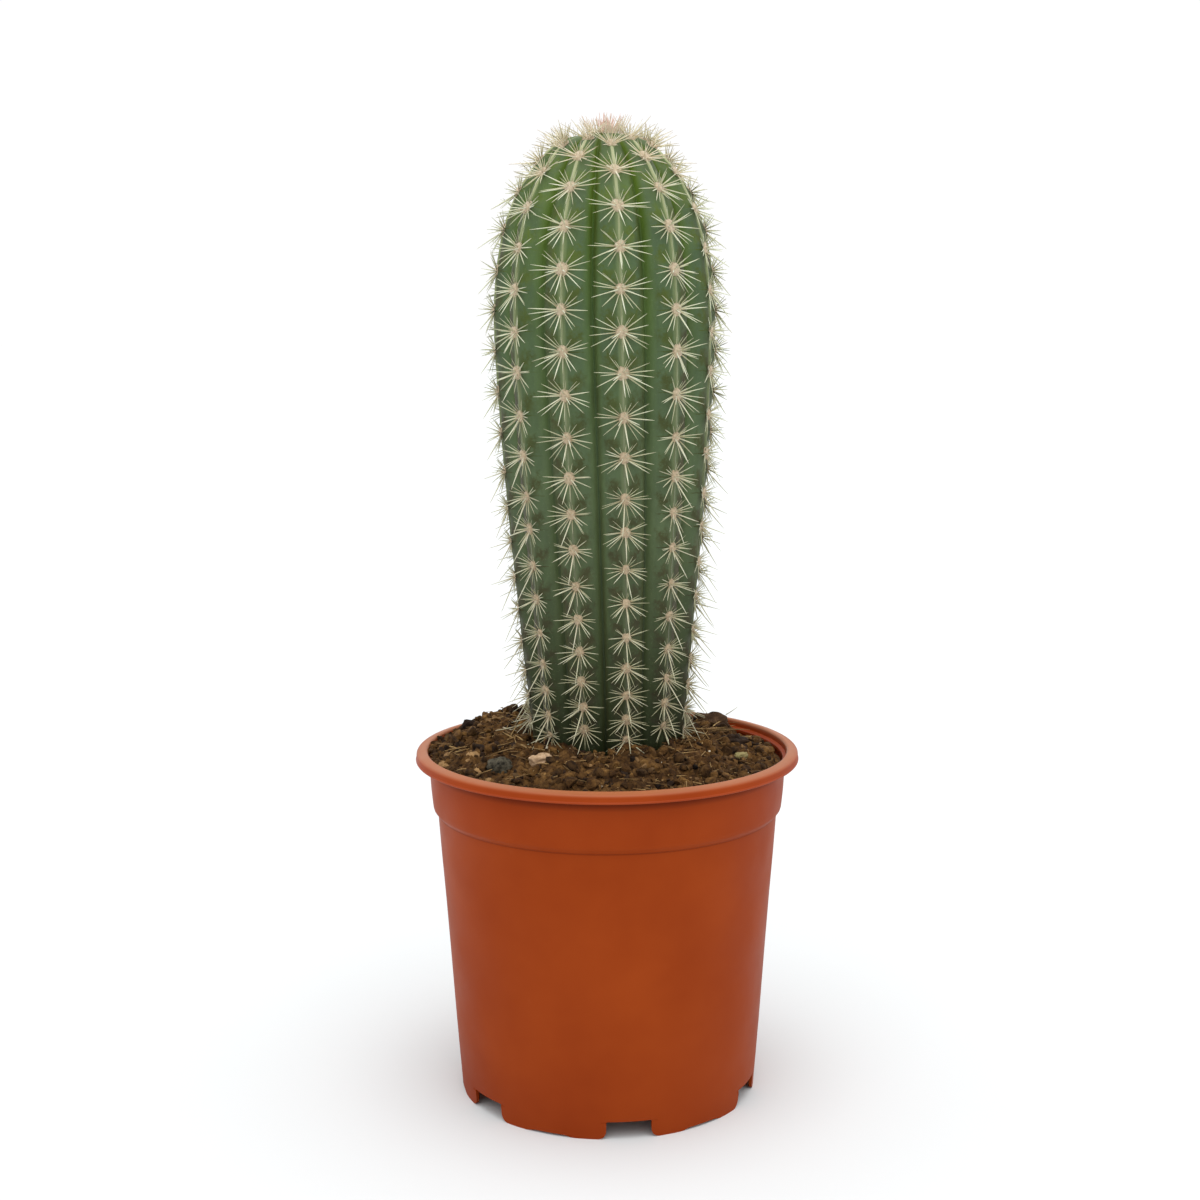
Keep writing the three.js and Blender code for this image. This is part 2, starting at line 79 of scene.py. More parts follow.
CREASE_DEPTH = 0.00026
CREASE_WIDTH = 0.085
# Heights and sizes of the ripples and pores of the skin.
RIPPLE_HEIGHT, RIPPLE_SIZE = 0.00035, 0.012
PORE_HEIGHT, PORE_SIZE = 0.00008, 0.0016

# Heights of the areoles of the even ribs, and of the odd ribs, which carry theirs half a pitch higher.
AREOLES = np.array([
    [
        0.4166, 0.4050, 0.3901, 0.3736, 0.3566, 0.3393, 0.3225, 0.3043, 0.2876, 0.2705, 0.2566, 0.2408,
        0.2263, 0.2114, 0.1979, 0.1861, 0.1750, 0.1660,
    ],
    [
        0.4192, 0.4110, 0.3979, 0.3821, 0.3646, 0.3483, 0.3314, 0.3134, 0.2958, 0.2793, 0.2639, 0.2489,
        0.2334, 0.2192, 0.2050, 0.1920, 0.1807, 0.1705,
    ],
])

# Pot
POT_HEIGHT = 0.1555
RIM_RADIUS = 0.085
FOOT_RADIUS = 0.0665
FOOT_WALL = 0.0012
FLOOR_UNDERSIDE = 0.0083
FLOOR_TOP = 0.0094
POT_SIDES = 240
COLLAR_CREASE_Z = 0.1279
LIP_BEAD_Z = 0.1517
NOTCH_COUNT = 6
NOTCH_FIRST_AZIMUTH = 7.5
NOTCH_WIDTH = 0.0195
NOTCH_HEIGHT = 0.008
# Half a notch: its sides flare at the table, and its upper corners are slightly rounded.
NOTCH_PROFILE = [
    (0.0142, -0.002), (0.0130, 0.0), (0.0114, 0.0006), (0.0104, 0.0015), (0.0099, 0.0028),
    (0.00975, 0.0042), (0.00975, 0.0076), (0.00935, NOTCH_HEIGHT),
]
# Half of the shallow relief between two notches.
RELIEF_PROFILE = [
    (0.0110, -0.002), (0.0110, 0.0), (0.0098, 0.0002), (0.0085, 0.0006), (0.0070, 0.0009), (0.0040, 0.0010),
]
FOOT_CUT_DEPTH = 0.008
# Half of the small nick at each upper corner of a notch.
NICK_PROFILE = [(0.0015, NOTCH_HEIGHT - 0.0007), (0.0015, NOTCH_HEIGHT - 0.0001)]
NICK_DEPTH = 0.0004
NICK_RADIUS = 0.0673
DRAIN_RADIUS = 0.006
DRAIN_CIRCLE = 0.050
# A flat that closes at the axis ends this far from it.
AXIS_RADIUS = 0.0004
# The outer wall from the foot up to the lip: radius and height.
POT_WALL = [
    (FOOT_RADIUS, 0.0), (0.0667, 0.003), (0.0675, 0.0132), (0.0689, 0.0318), (0.0712, 0.066),
    (0.0728, 0.0885), (0.0745, 0.110), (0.0753, 0.1215), (0.0756, 0.1262), (0.0757, 0.1278),
    (0.0761, 0.1280), (0.0762, 0.1283), (0.0771, 0.1294), (0.0776, 0.1300), (0.0778, 0.1307),
    (0.0780, 0.1325), (0.0786, 0.1385), (0.0790, 0.1450), (0.0792, 0.1490),
]
# The hollow under the lip and the lip's inner side: radius and depth below the top.
HOOK = [
    (0.0794, 0.0042), (0.0797, 0.0039), (0.0807, 0.0036), (0.0811, 0.0032), (0.0811, 0.0016),
    (0.0813, 0.0014), (0.0838, 0.0014), (0.0839, 0.0016), (0.0840, 0.0042),
]
LIP_INSIDE = [(0.0797, 0.0022), (0.0796, 0.0026), (0.0793, 0.0028), (0.0787, 0.0031), (0.0784, 0.0034)]
# The inner wall from the floor up: radius and height.
POT_INSIDE = [
    (0.0645, FLOOR_TOP), (0.0660, 0.0106), (0.0701, 0.066), (0.0748, 0.1278), (0.0764, 0.1303),
    (0.0782, 0.1519),
]

# Soil
SOIL_EDGE = [0.1490, 0.1486, 0.1480, 0.1470, 0.1470, 0.1555, 0.1570, 0.1575, 0.1575, 0.1535, 0.1510, 0.1495]
SOIL_ROUGH = 0.0013
MOUND_CURVE = 0.6
SOIL_WAVES = [(210, 50, 1.3), (-80, 190, 2.4), (430, -310, 2.1), (330, 570, 0.4)]
SOIL_INNER = 0.0338
SOIL_OUTER = 0.0782
SOIL_GAP = 0.00045
# Where loose soil by the wall lies lower or higher than the mound: azimuth and half width in degrees, height.
SOIL_SETTLED = [(247, 17, -0.0034), (92, 30, 0.0018)]
SETTLED_FROM = 0.060
LEDGE_Z = 0.1522
# Sizes and heights of the clods, lumps, crumbs and grains of its surface.
CLOD_SIZE, CLOD_HEIGHT = 0.0105, 0.0044
LUMP_SIZE, LUMP_HEIGHT = 0.0042, 0.0021
CRUMB_SIZE, CRUMB_HEIGHT = 0.0021, 0.0008
GRAIN_SIZE, GRAIN_HEIGHT = 0.0010, 0.0004
# The hole round the buried foot of the stem, and the gap over the pot's floor.
HOLE_RADIUS = 0.0262
HOLE_BOTTOM_Z = 0.125
FLOOR_GAP = 0.00035
# Rings that loose bits, fibres and the tangle at the stem's foot are scattered on.
BITS_RING = (0.033, 0.0760)
FIBRES_RING = (0.036, 0.0754)
TANGLE_RING = (0.035, 0.047)
LEDGE_RING = (0.0760, 0.0792)
LEDGE_AZIMUTHS = (208, 335)
# Larger pieces: name, place, half sizes, turn and tilt in degrees, matter, seed, tone, square, ragged.
CHIPS = [
    ("chip_tan", (-0.0285, -0.0385, 0.1590), (0.0048, 0.0036, 0.0028), 5, -6, "clay", 5, 1.0, 0.1, 0.2),
    ("charcoal_lump", (-0.046, -0.041, 0.1562), (0.0048, 0.0042, 0.0036), -15, -8, "grey", 6, 0.7, 0.3, 0.3),
    ("clod_pale_left", (-0.0705, -0.026, 0.1525), (0.0036, 0.0030, 0.0022), 40, 0, "tan", 21, 0.7, 0.1, 0.3),
    ("clod_pale_front", (-0.0545, -0.042, 0.1540), (0.0028, 0.0024, 0.0020), 0, 0, "tan", 22, 1.0, 0.1, 0.3),
    ("bark_back", (0.049, 0.041, 0.1568), (0.0088, 0.0046, 0.0048), 12, 8, "bark", 7, 0.8, 0.3, 0.3),
    ("bark_flat", (0.0575, 0.001, 0.1562), (0.0085, 0.0064, 0.0030), 30, 5, "dark", 8, 0.5, 0.3, 0.22),
    ("clod_far_right", (0.069, -0.002, 0.153), (0.0050, 0.0044, 0.0032), 10, 5, "ground", 18, 1.0, 0.1, 0.2),
    ("bit_rim_left", (-0.064, 0.033, 0.158), (0.0030, 0.0025, 0.0024), 30, 10, "dark", 9, 0.3, 0.4, 0.12),
    ("bit_back_left", (-0.048, 0.051, 0.1585), (0.0034, 0.0025, 0.0024), -40, 10, "dark", 10, 0.3, 0.3, 0.12),
    ("clod_front", (-0.004, -0.054, 0.156), (0.0062, 0.0046, 0.0026), 5, -8, "ground", 11, 0.9, 0.1, 0.12),
    ("clod_right", (0.018, -0.046, 0.1578), (0.0050, 0.0042, 0.0026), -30, 8, "ground", 12, 0.8, 0.1, 0.12),
    ("clod_left", (-0.057, -0.022, 0.156), (0.0050, 0.0042, 0.0026), 60, 10, "tan", 13, 0.7, 0.1, 0.12),
    ("bit_mossy", (0.0585, -0.019, 0.1553), (0.0030, 0.0020, 0.0018), 20, 0, "moss", 14, 1.0, 0.1, 0.12),
]
# Kinds of matter in the soil: material name, scale of the grain, stops of the colour.
MATTER = {
    "ground": (
        "potting_mix", 260, (0.3, 38, 25, 12), (0.45, 84, 58, 28), (0.6, 124, 92, 50), (0.75, 164, 130, 82),
    ),
    "dark": ("dark_bits", 260, (0.3, 26, 18, 12), (0.7, 72, 52, 36)),
    "tan": ("tan_bits", 260, (0.3, 122, 92, 60), (0.7, 196, 160, 112)),
    "bark": ("bark", 260, (0.3, 40, 28, 20), (0.55, 84, 62, 44), (0.75, 128, 102, 76)),
    "grey": ("charcoal", 420, (0.35, 26, 26, 22), (0.65, 112, 108, 94)),
    "clay": ("clay_bits", 260, (0.3, 150, 120, 92), (0.7, 214, 186, 156)),
    "pale": ("pale_grains", 260, (0.3, 196, 186, 164), (0.7, 240, 236, 222)),
    "moss": ("mossy_bits", 260, (0.3, 104, 96, 60), (0.7, 166, 156, 112)),
    "fibre": ("fibres", 500, (0.3, 132, 100, 62), (0.7, 206, 176, 124)),
}

# Stage
FLOOR_COLOUR = (0.706, 0.727, 0.733, 1)
WORLD_STRENGTH = 1.02
# Soft far lights, so that the floor is equally bright everywhere: azimuth, elevation, strength, width.
SUNS = {"key": (-2, 60, 0.68, 55), "top": (20, 84, 0.88, 45), "side": (80, 24, 0.13, 60)}


# Plain maths


def mix(a, b, t):
    return a + (b - a) * t


def smooth(t):
    t = np.clip(t, 0, 1)
    return t * t * (3 - 2 * t)


def share(value, start, end):
    """How far a value has got from start to end, eased, from 0 to 1."""
    return smooth((value - start) / (end - start))


def polar(radius, azimuth, height):
    """Points at radii, azimuths in degrees from the front, and heights."""
    a = np.radians(azimuth)
    x, y, z = np.broadcast_arrays(radius * np.sin(a), -radius * np.cos(a), height)
    return np.stack([x, y, z], axis=-1)


def unit(v):
    return v / np.linalg.norm(v, axis=-1, keepdims=True)


def hashed(i, j, k, seed):
    """A repeatable number from 0 to 1 for each whole-number corner of space."""
    mask = np.int64(0xFFFFFFFF)
    h = (i * 374761393 + j * 668265263 + k * 1442695041 + seed * 974634777) & mask
    h = ((h ^ (h >> 13)) * 1274126177) & mask
    return ((h ^ (h >> 16)) & 0xFFFF) / 65535.0


def noise(points, size, seed=0):
    """Smooth value noise from -1 to 1 with features of the given size."""
    p = np.asarray(points, float) / size
    base = np.floor(p).astype(np.int64)
    f = p - base
    f = f * f * (3 - 2 * f)
    total = 0
    for corner in np.ndindex(2, 2, 2):
        weight = np.where(corner, f, 1 - f).prod(axis=-1)
        total = total + weight * hashed(*np.moveaxis(base + corner, -1, 0), seed)
    return total * 2 - 1


def fractal(points, size, octaves, seed=0):
    """Noise with finer and weaker noises on it, each half as large as the one before."""
    total = 0
    reach = 0
    for o in range(octaves):
        total = total + noise(points, size / 2**o, seed + 17 * o) / 2**o
        reach += 1 / 2**o
    return total / reach


def linear(red, green, blue):
    """Display colour, 0 to 255, as the linear colour that shaders take."""
    out = []
    for v in (red, green, blue):
        v /= 255
        out.append(v / 12.92 if v <= 0.04045 else ((v + 0.055) / 1.055) ** 2.4)
    return (*out, 1.0)


# Meshes


def add_object(name, data):
    obj = bpy.data.objects.new(name, data)
    bpy.context.scene.collection.objects.link(obj)
    return obj


def add_mesh(name, points, faces, material, attributes=None, smooth_shading=True):
    """A new object of one material; attributes are numbers per point that its material reads."""
    mesh = bpy.data.meshes.new(name)
    points = np.asarray(points, np.float32).reshape(-1, 3)
    faces = np.asarray(faces, np.int32)
    count, corners = faces.shape
    mesh.vertices.add(len(points))
    mesh.vertices.foreach_set("co", points.ravel())
    mesh.loops.add(count * corners)
    mesh.loops.foreach_set("vertex_index", faces.ravel())
    mesh.polygons.add(count)
    mesh.polygons.foreach_set("loop_start", np.arange(0, count * corners, corners, dtype=np.int32))
    mesh.polygons.foreach_set("loop_total", np.full(count, corners, np.int32))
    mesh.update(calc_edges=True)
    mesh.validate()
    for key, values in (attributes or {}).items():
        layer = mesh.attributes.new(key, "FLOAT", "POINT")
        layer.data.foreach_set("value", np.asarray(values, np.float32).ravel())
    mesh.polygons.foreach_set("use_smooth", np.full(len(mesh.polygons), smooth_shading))
    mesh.materials.append(material)
    return add_object(name, mesh)


def grid_faces(rows, columns, closed=True):
    """Quads of a grid of points, row after row, closed round its columns."""
    near = np.arange(rows - 1)[:, None] * columns
    far = near + columns
    j = np.arange(columns if closed else columns - 1)
    k = (j + 1) % columns
    return np.stack([near + j, near + k, far + k, far + j], axis=-1).reshape(-1, 4)


def copies(faces, count, per):
    """The faces of one piece for many like it, which have their own points, so many per piece."""
    return (faces + np.arange(count)[:, None, None] * per).reshape(-1, faces.shape[1])


def keep(obj, slot, *nodes):
    """Registers a piece: it rides on the one body and may stand for CAD nodes, which it hides; slot is not
    used.
    """
    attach(obj, "root")
    if nodes:
        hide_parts(*nodes)
    return obj


# Materials


class Shader:
    """A Principled material and short calls for the nodes that feed it."""

    def __init__(self, name, roughness=0.5, specular=0.5):
        self.material = bpy.data.materials.new(name)
        self.material.use_nodes = True
        self.tree = self.material.node_tree
        self.surface({"Roughness": roughness, "Specular IOR Level": specular})
        self.place = self.node("ShaderNodeTexCoord").outputs["Object"]

    def feed(self, node, inputs):
        """Gives inputs of a node their values, or links them to outputs of other nodes."""
        for key, value in inputs.items():
            if isinstance(value, (int, float, tuple)):
                node.inputs[key].default_value = value
            else:
                self.tree.links.new(value, node.inputs[key])

    def surface(self, inputs):
        self.feed(self.tree.nodes["Principled BSDF"], inputs)

    def node(self, kind, inputs=None, **settings):
        made = self.tree.nodes.new(kind)
        for key, value in settings.items():
            setattr(made, key, value)
        self.feed(made, inputs or {})
        return made

    def height(self):
        """Height above the table."""
        return self.node("ShaderNodeSeparateXYZ", {0: self.place}).outputs["Z"]

    def lower_tint(self):
        """A tint for spines and wool, darker towards the soil."""
        return self.ramp(
            self.range(self.height(), 0.165, 0.345),
            (0.0, 228, 219, 206), (0.25, 236, 230, 221), (0.55, 242, 236, 229), (1.0, 255, 254, 251),
        )

    def attribute(self, name):
        return self.node("ShaderNodeAttribute", attribute_name=name).outputs["Fac"]

    def noise(self, scale, detail=4, roughness=0.55, stretch=None):
        place = self.place
        if stretch:
            place = self.node("ShaderNodeMapping", {"Vector": place, "Scale": stretch}).outputs["Vector"]
        inputs = {"Vector": place, "Scale": scale, "Detail": detail, "Roughness": roughness}
        return self.node("ShaderNodeTexNoise", inputs).outputs["Fac"]

    def ramp(self, source, *stops):
        """A value turned into a colour: stops are (position, red, green, blue), as displayed."""
        made = self.node("ShaderNodeValToRGB", {"Fac": source})
        elements = made.color_ramp.elements
        while len(elements) < len(stops):
            elements.new(0.5)
        for element, (position, *colour) in zip(elements, stops):
            element.position = position
            element.color = linear(*colour)
        return made.outputs["Color"]

    def range(self, source, low, high, to_low=0.0, to_high=1.0):
        inputs = {"Value": source, "From Min": low, "From Max": high, "To Min": to_low, "To Max": to_high}
        return self.node("ShaderNodeMapRange", inputs).outputs["Result"]

    def maths(self, operation, *values):
        return self.node("ShaderNodeMath", dict(enumerate(values)), operation=operation).outputs["Value"]

    def times(self, a, b):
        return self.maths("MULTIPLY", a, b)

    def apart(self, a, b):
        """How far two values lie apart."""
        return self.maths("ABSOLUTE", self.maths("SUBTRACT", a, b))

    def blend(self, factor, a, b, mode="MIX"):
        inputs = {0: factor, 6: a, 7: b}
        return self.node("ShaderNodeMix", inputs, data_type="RGBA", blend_type=mode).outputs[2]

    def bump(self, source, strength, distance):
        made = self.node("ShaderNodeBump", {"Height": source, "Strength": strength, "Distance": distance})
        self.surface({"Normal": made.outputs["Normal"]})

    def soften(self, weight, distance, reach=(1.0, 0.9, 0.8)):
        """Light that passes a little way through the piece; reach is its share in each colour."""
        self.surface({"Subsurface Weight": weight, "Subsurface Radius": reach, "Subsurface Scale": distance})

    def colour(self, source):
        self.surface({"Base Color": source})


def pot_material():
    s = Shader("pot_plastic", roughness=0.5, specular=0.07)
    z = s.height()
    # Colour up the wall; the last, paler stop, on the top of the lip, is a painted highlight.
    wall = s.ramp(
        s.range(z, 0.0, POT_HEIGHT),
        (0.0, 134, 50, 12), (0.35, 143, 56, 12), (0.8, 146, 57, 12), (0.975, 150, 56, 14),
        (0.991, 150, 58, 16), (1.0, 172, 113, 75),
    )
    cloudy = s.blend(0.35, wall, s.ramp(s.noise(22, 3), (0.3, 128, 45, 6), (0.7, 160, 68, 19)))
    scuffs = s.ramp(s.noise(70, 5, 0.65), (0.66, 0, 0, 0), (0.74, 255, 255, 255))
    worn = s.blend(s.times(scuffs, 0.12), cloudy, linear(160, 84, 50))
    # Painted shade in the crease under the collar and in the corner under the lip.
    crease = s.range(s.apart(z, COLLAR_CREASE_Z), 0.0007, 0.0003, 0.0, 0.3)
    corner = s.times(s.range(z, 0.1466, 0.1496, 0.0, 0.78), s.range(z, 0.1512, 0.1508))
    s.colour(s.blend(s.maths("MAXIMUM", crease, corner), worn, linear(84, 22, 2)))
    # The top of the lip and its bead are smoother than the wall.
    bead = s.range(s.apart(z, LIP_BEAD_Z), 0.0007, 0.0004, 0.0, 0.5)
    shine = s.maths("MAXIMUM", s.range(z, 0.1540, 0.1550), bead)
    s.surface({"Specular IOR Level": s.range(shine, 0, 1, 0.07, 0.26)})
    s.surface({"Roughness": s.range(s.noise(35, 4), 0.3, 0.7, 0.42, 0.56)})
    s.bump(s.noise(900, 3, 0.6), 0.12, 0.0002)
    return s.material


def stem_material():
    s = Shader("cactus_skin", roughness=0.5, specular=0.2)
    z_share = s.range(s.height(), 0.155, 0.425)
    offset = s.attribute("offset")
    above = s.attribute("above")
    # Bluish green on the flanks, darker towards the soil and lighter in the crown.
    skin = s.ramp(
        z_share,
        (0.0, 38, 44, 22), (0.15, 64, 75, 44), (0.4, 96, 112, 81), (0.6, 92, 112, 80),
        (0.8, 90, 112, 80), (1.0, 104, 122, 82),
    )
    # Painted shade of the spines: an olive patch on both sides above each areole.
    olive_spine_shade = s.ramp(z_share, (0.0, 46, 42, 24), (0.3, 72, 69, 42), (0.6, 78, 86, 41), (1.0, 104, 124, 42))
    ragged = s.range(s.noise(420, 3), 0.3, 0.7, -0.16, 0.16)
    from_spine_shade = s.apart(s.maths("ADD", above, ragged), 0.30)
    sides = s.range(s.apart(s.maths("ADD", offset, ragged), 0.38), 0.38, 0.1)
    spine_shade_mask = s.times(s.range(from_spine_shade, 0.30, 0.06), sides)
    skin = s.blend(s.times(spine_shade_mask, 0.92), skin, olive_spine_shade)
    # Greyish skin just under each areole.
    under = s.times(s.range(above, 0.62, 0.95), s.range(offset, 0.5, 0.12))
    grey = s.ramp(z_share, (0.0, 56, 56, 42), (0.4, 94, 102, 78), (1.0, 118, 130, 92))
    skin = s.blend(s.times(under, 0.7), skin, grey)
    # The furrow: yellowish in the crown, and a dark line of painted shade in its fold.
    furrow = s.ramp(
        z_share,
        (0.0, 44, 50, 28), (0.25, 92, 104, 70), (0.5, 106, 124, 86), (0.7, 102, 125, 76),
        (0.86, 98, 124, 44), (1.0, 108, 132, 40),
    )
    skin = s.blend(s.range(offset, 0.66, 0.9), skin, furrow)
    painted_fold_shade = s.ramp(z_share, (0.0, 30, 38, 20), (0.5, 44, 66, 36), (0.8, 56, 86, 22), (1.0, 58, 92, 12))
    skin = s.blend(s.range(offset, 0.93, 0.99, 0.0, 0.6), skin, painted_fold_shade)
    # Painted shade of the spines seen edge-on: skin that faces the two sides of the plant is browner.
    side_shade = s.times(s.range(s.attribute("sideways"), 0.66, 0.92), s.range(spine_shade_mask, 0.0, 0.8, 0.42, 0.9))
    skin = s.blend(side_shade, skin, linear(72, 65, 38))
    # Cloudy yellowish patches in the upper half, a fine mottle all over and pale specks.
    cloud = s.range(s.noise(48, 3, 0.5, (1, 1, 0.5)), 0.48, 0.68, 0.0, 0.4)
    skin = s.blend(s.times(cloud, s.range(z_share, 0.45, 0.8)), skin, linear(106, 130, 56))
    mottled = s.noise(150, 5, 0.62, (1, 1, 0.42))
    skin = s.blend(0.55, skin, s.ramp(mottled, (0.3, 96, 104, 84), (0.7, 152, 158, 140)), "OVERLAY")
    speckle = s.ramp(s.noise(1300, 2, 0.5), (0.62, 0, 0, 0), (0.72, 255, 255, 255))
    skin = s.blend(s.times(speckle, 0.10), skin, linear(140, 158, 112))
    # The rib's crest is paler.
    crest = s.ramp(z_share, (0.0, 60, 64, 42), (0.4, 112, 122, 88), (1.0, 140, 154, 104))
    s.colour(s.blend(s.range(offset, 0.17, 0.03, 0.0, 0.75), skin, crest))
    s.surface({"Roughness": s.range(mottled, 0.3, 0.7, 0.42, 0.58)})
    s.bump(s.noise(700, 5, 0.6), 0.25, 0.0003)
    s.soften(0.05, 0.002, (0.3, 0.6, 0.2))
    return s.material


def spine_material():
    s = Shader("dry_spines", roughness=0.45, specular=0.4)
    old = s.ramp(
        s.attribute("along"),
        (0.0, 188, 170, 142), (0.2, 208, 206, 182), (0.7, 222, 226, 206), (1.0, 206, 206, 184),
    )
    fresh = s.ramp(
        s.attribute("along"),
        (0.0, 220, 200, 174), (0.5, 242, 232, 214), (0.85, 234, 220, 206), (1.0, 164, 136, 118),
    )
    shade = s.ramp(
        s.attribute("tone"),
        (0.0, 158, 156, 118), (0.35, 206, 208, 178), (0.7, 240, 243, 228), (1.0, 255, 255, 253),
    )
    clean = s.blend(0.75, s.blend(s.attribute("young"), old, fresh), shade, "MULTIPLY")
    s.colour(s.blend(1.0, clean, s.lower_tint(), "MULTIPLY"))
    s.surface({"Sheen Weight": 0.3})
    s.soften(0.2, 0.0005)
    return s.material


def felt_material():
    s = Shader("areole_felt", roughness=0.95, specular=0.1)
    old = s.ramp(s.noise(900, 4, 0.7), (0.3, 168, 150, 126), (0.7, 210, 194, 168))
    line = s.ramp(
        s.range(s.attribute("height"), 0.17, 0.42),
        (0.0, 70, 72, 52), (0.4, 108, 116, 86), (0.8, 138, 148, 106), (1.0, 180, 184, 140),
    )
    s.colour(s.blend(s.attribute("line"), s.blend(1.0, old, s.lower_tint(), "MULTIPLY"), line))
    s.bump(s.noise(2600, 3, 0.7), 0.5, 0.0003)
    s.surface({"Sheen Weight": 0.5})
    return s.material


def crown_material():
    s = Shader("young_spines", roughness=0.5, specular=0.35)
    pink = s.ramp(
        s.attribute("along"),
        (0.0, 236, 222, 206), (0.4, 240, 222, 212), (0.8, 232, 198, 188), (1.0, 202, 164, 152),
    )
    cream = s.ramp(s.attribute("along"), (0.0, 238, 228, 212), (0.8, 240, 234, 220), (1.0, 170, 142, 124))
    shade = s.ramp(s.attribute("tone"), (0.0, 234, 222, 208), (1.0, 255, 252, 246))
    s.colour(s.blend(0.8, s.blend(s.attribute("outer"), pink, cream), shade, "MULTIPLY"))
    s.soften(0.4, 0.0006)
    return s.material


def soil_material(name, scale, *stops):
    s = Shader(name, roughness=0.95, specular=0.2)
    body = s.ramp(s.noise(scale, 6, 0.68), *stops)
    tint = s.ramp(s.attribute("tone"), (0.0, 90, 80, 72), (0.5, 190, 180, 170), (1.0, 255, 250, 240))
    s.colour(s.blend(0.85, body, tint, "MULTIPLY"))
    s.bump(s.noise(scale * 4, 5, 0.7), 0.6, 0.0008)
    return s.material


# Stem form


def chaikin(points, rounds=3):
    """An open line with its corners cut, so that it runs smoothly near its points."""
    for _ in range(rounds):
        a, b = points[:-1], points[1:]
        cut = np.empty((2 * len(a), points.shape[1]))
        cut[0::2] = mix(a, b, 0.25)
        cut[1::2] = mix(a, b, 0.75)
        points = np.vstack([points[:1], cut, points[-1:]])
    return points


CREST = chaikin(np.array(STEM_LEVELS))
CREST_RUN = np.concatenate([[0], np.cumsum(np.hypot(np.diff(CREST[:, 0]), np.diff(CREST[:, 1])))])
# Half of the stretch over which its slope is taken.
CREST_STEP = 0.0012


def along_crest(run):
    """Height, radius and furrow depth at a length along the crest."""
    return np.stack([np.interp(run, CREST_RUN, values) for values in CREST.T])


def crest_at(run):
    """Height, radius, furrow depth and outward normal (radius, height) at a length along the crest."""
    ahead = along_crest(np.minimum(run + CREST_STEP, CREST_RUN[-1]))
    behind = along_crest(np.maximum(run - CREST_STEP, 0))
    dz, dr, _ = ahead - behind
    length = np.hypot(dz, dr)
    return (*along_crest(run), dz / length, -dr / length)


def run_at(height):
    """Length along the crest where it reaches a height."""
    top = int(np.argmax(CREST[:, 0]))
    return np.interp(height, CREST[: top + 1, 0], CREST_RUN[: top + 1])


def centre_x(height):
    t = (height - SOIL_AT_STEM) / (STEM_TOP_Z - SOIL_AT_STEM)
    return mix(STEM_BASE_X, STEM_TOP_X, np.clip(t, 0, 1))


def twist(height):
    return TWIST_DEG * np.clip((TWIST_TOP - height) / (TWIST_TOP - TWIST_BOTTOM), 0, 1)


def swell_at(run, rib):
    """How far the crest swells out at lengths along it, which is most at the rib's areoles."""
    gap = run[:, None] - run_at(AREOLES[rib % 2])
    return AREOLE_SWELL * np.exp(-((gap / AREOLE_SWELL_LENGTH) ** 2)).sum(axis=1)


def climb_at(run, rib):
    """How far up lengths along the crest lie from one areole of the rib to the next, from 0 to 1."""
    marks = np.sort(run_at(AREOLES[rib % 2]))
    below = np.searchsorted(marks, run) - 1
    lower, upper = marks.take([below, below + 1], mode="clip")
    return np.clip((run - lower) / np.maximum(upper - lower, 1e-6), 0, 1)


def stem_surface(run, rib, offset, lift=0.0):
    """Points of the skin: length along the crest, rib number, offset from the crest in half pitches."""
    height, radius, depth, nr, nz = crest_at(run)
    fall = RIB_ROUND * offset**2 + RIB_SHARP * np.abs(offset) ** RIB_SHARP_POWER
    sink = depth * fall - lift
    azimuth = RIB_FIRST_AZIMUTH + rib * RIB_PITCH + twist(height) + offset * RIB_PITCH / 2
    points = polar(radius - nr * sink, azimuth, height - nz * sink)
    points[..., 0] += centre_x(height)
    return points


def make_stem(material):
    rows = np.linspace(run_at(STEM_FOOT_Z), CREST_RUN[-1] - 0.0004, STEM_ROWS)
    columns = RIB_COUNT * RIB_COLUMNS
    rib, column = np.divmod(np.arange(columns), RIB_COLUMNS)
    run, rib, offset = np.broadcast_arrays(rows[:, None], rib, column / RIB_COLUMNS * 2 - 1)
    side = np.abs(offset)
    odd = rib % 2 == 1
    swell = np.where(odd, swell_at(rows, 1)[:, None], swell_at(rows, 0)[:, None])
    above = np.where(odd, climb_at(rows, 1)[:, None], climb_at(rows, 0)[:, None])
    fade = np.exp(-((offset / 0.55) ** 2))
    points = stem_surface(run, rib, offset)
    skin = RIPPLE_HEIGHT * fractal(points, RIPPLE_SIZE, 3, 5) * (1 - 0.4 * fade)
    skin = skin + PORE_HEIGHT * noise(points, PORE_SIZE, 9)
    # A faint crease runs up and outwards from both sides of each areole.
    crease = np.exp(-(((above - 0.12 - 0.34 * side) / CREASE_WIDTH) ** 2))
    crease = crease * smooth(side / 0.15) * smooth((0.9 - side) / 0.3) * CREASE_DEPTH
    points = stem_surface(run, rib, offset, lift=swell * fade + skin - 0.0002 * fade - crease)
    across = np.roll(points, -1, axis=1) - np.roll(points, 1, axis=1)
    sideways = np.abs(unit(np.cross(across, np.gradient(points, axis=0)))[..., 0])
    # Triangles, and a fan round one more point at each end.
    quads = grid_faces(STEM_ROWS, columns)
    top = STEM_ROWS * columns
    last = top - columns
    j = np.arange(columns)
    k = (j + 1) % columns
    cap = np.stack([last + j, last + k, np.full(columns, top)], axis=-1)
    base = np.stack([k, j, np.full(columns, top + 1)], axis=-1)
    faces = np.vstack([quads[:, [0, 1, 2]], quads[:, [0, 2, 3]], cap, base])
    ends = [[STEM_TOP_X, 0, STEM_TOP_Z - 0.0002], [STEM_BASE_X, 0, STEM_FOOT_Z]]
    points = np.vstack([points.reshape(-1, 3), ends])
    values = {"offset": side, "above": above, "sideways": sideways}
    attributes = {name: np.append(value, [0, 0]) for name, value in values.items()}
    return keep(add_mesh("stem_skin", points, faces, material, attributes), "stem", "stem")


# Spines and felt


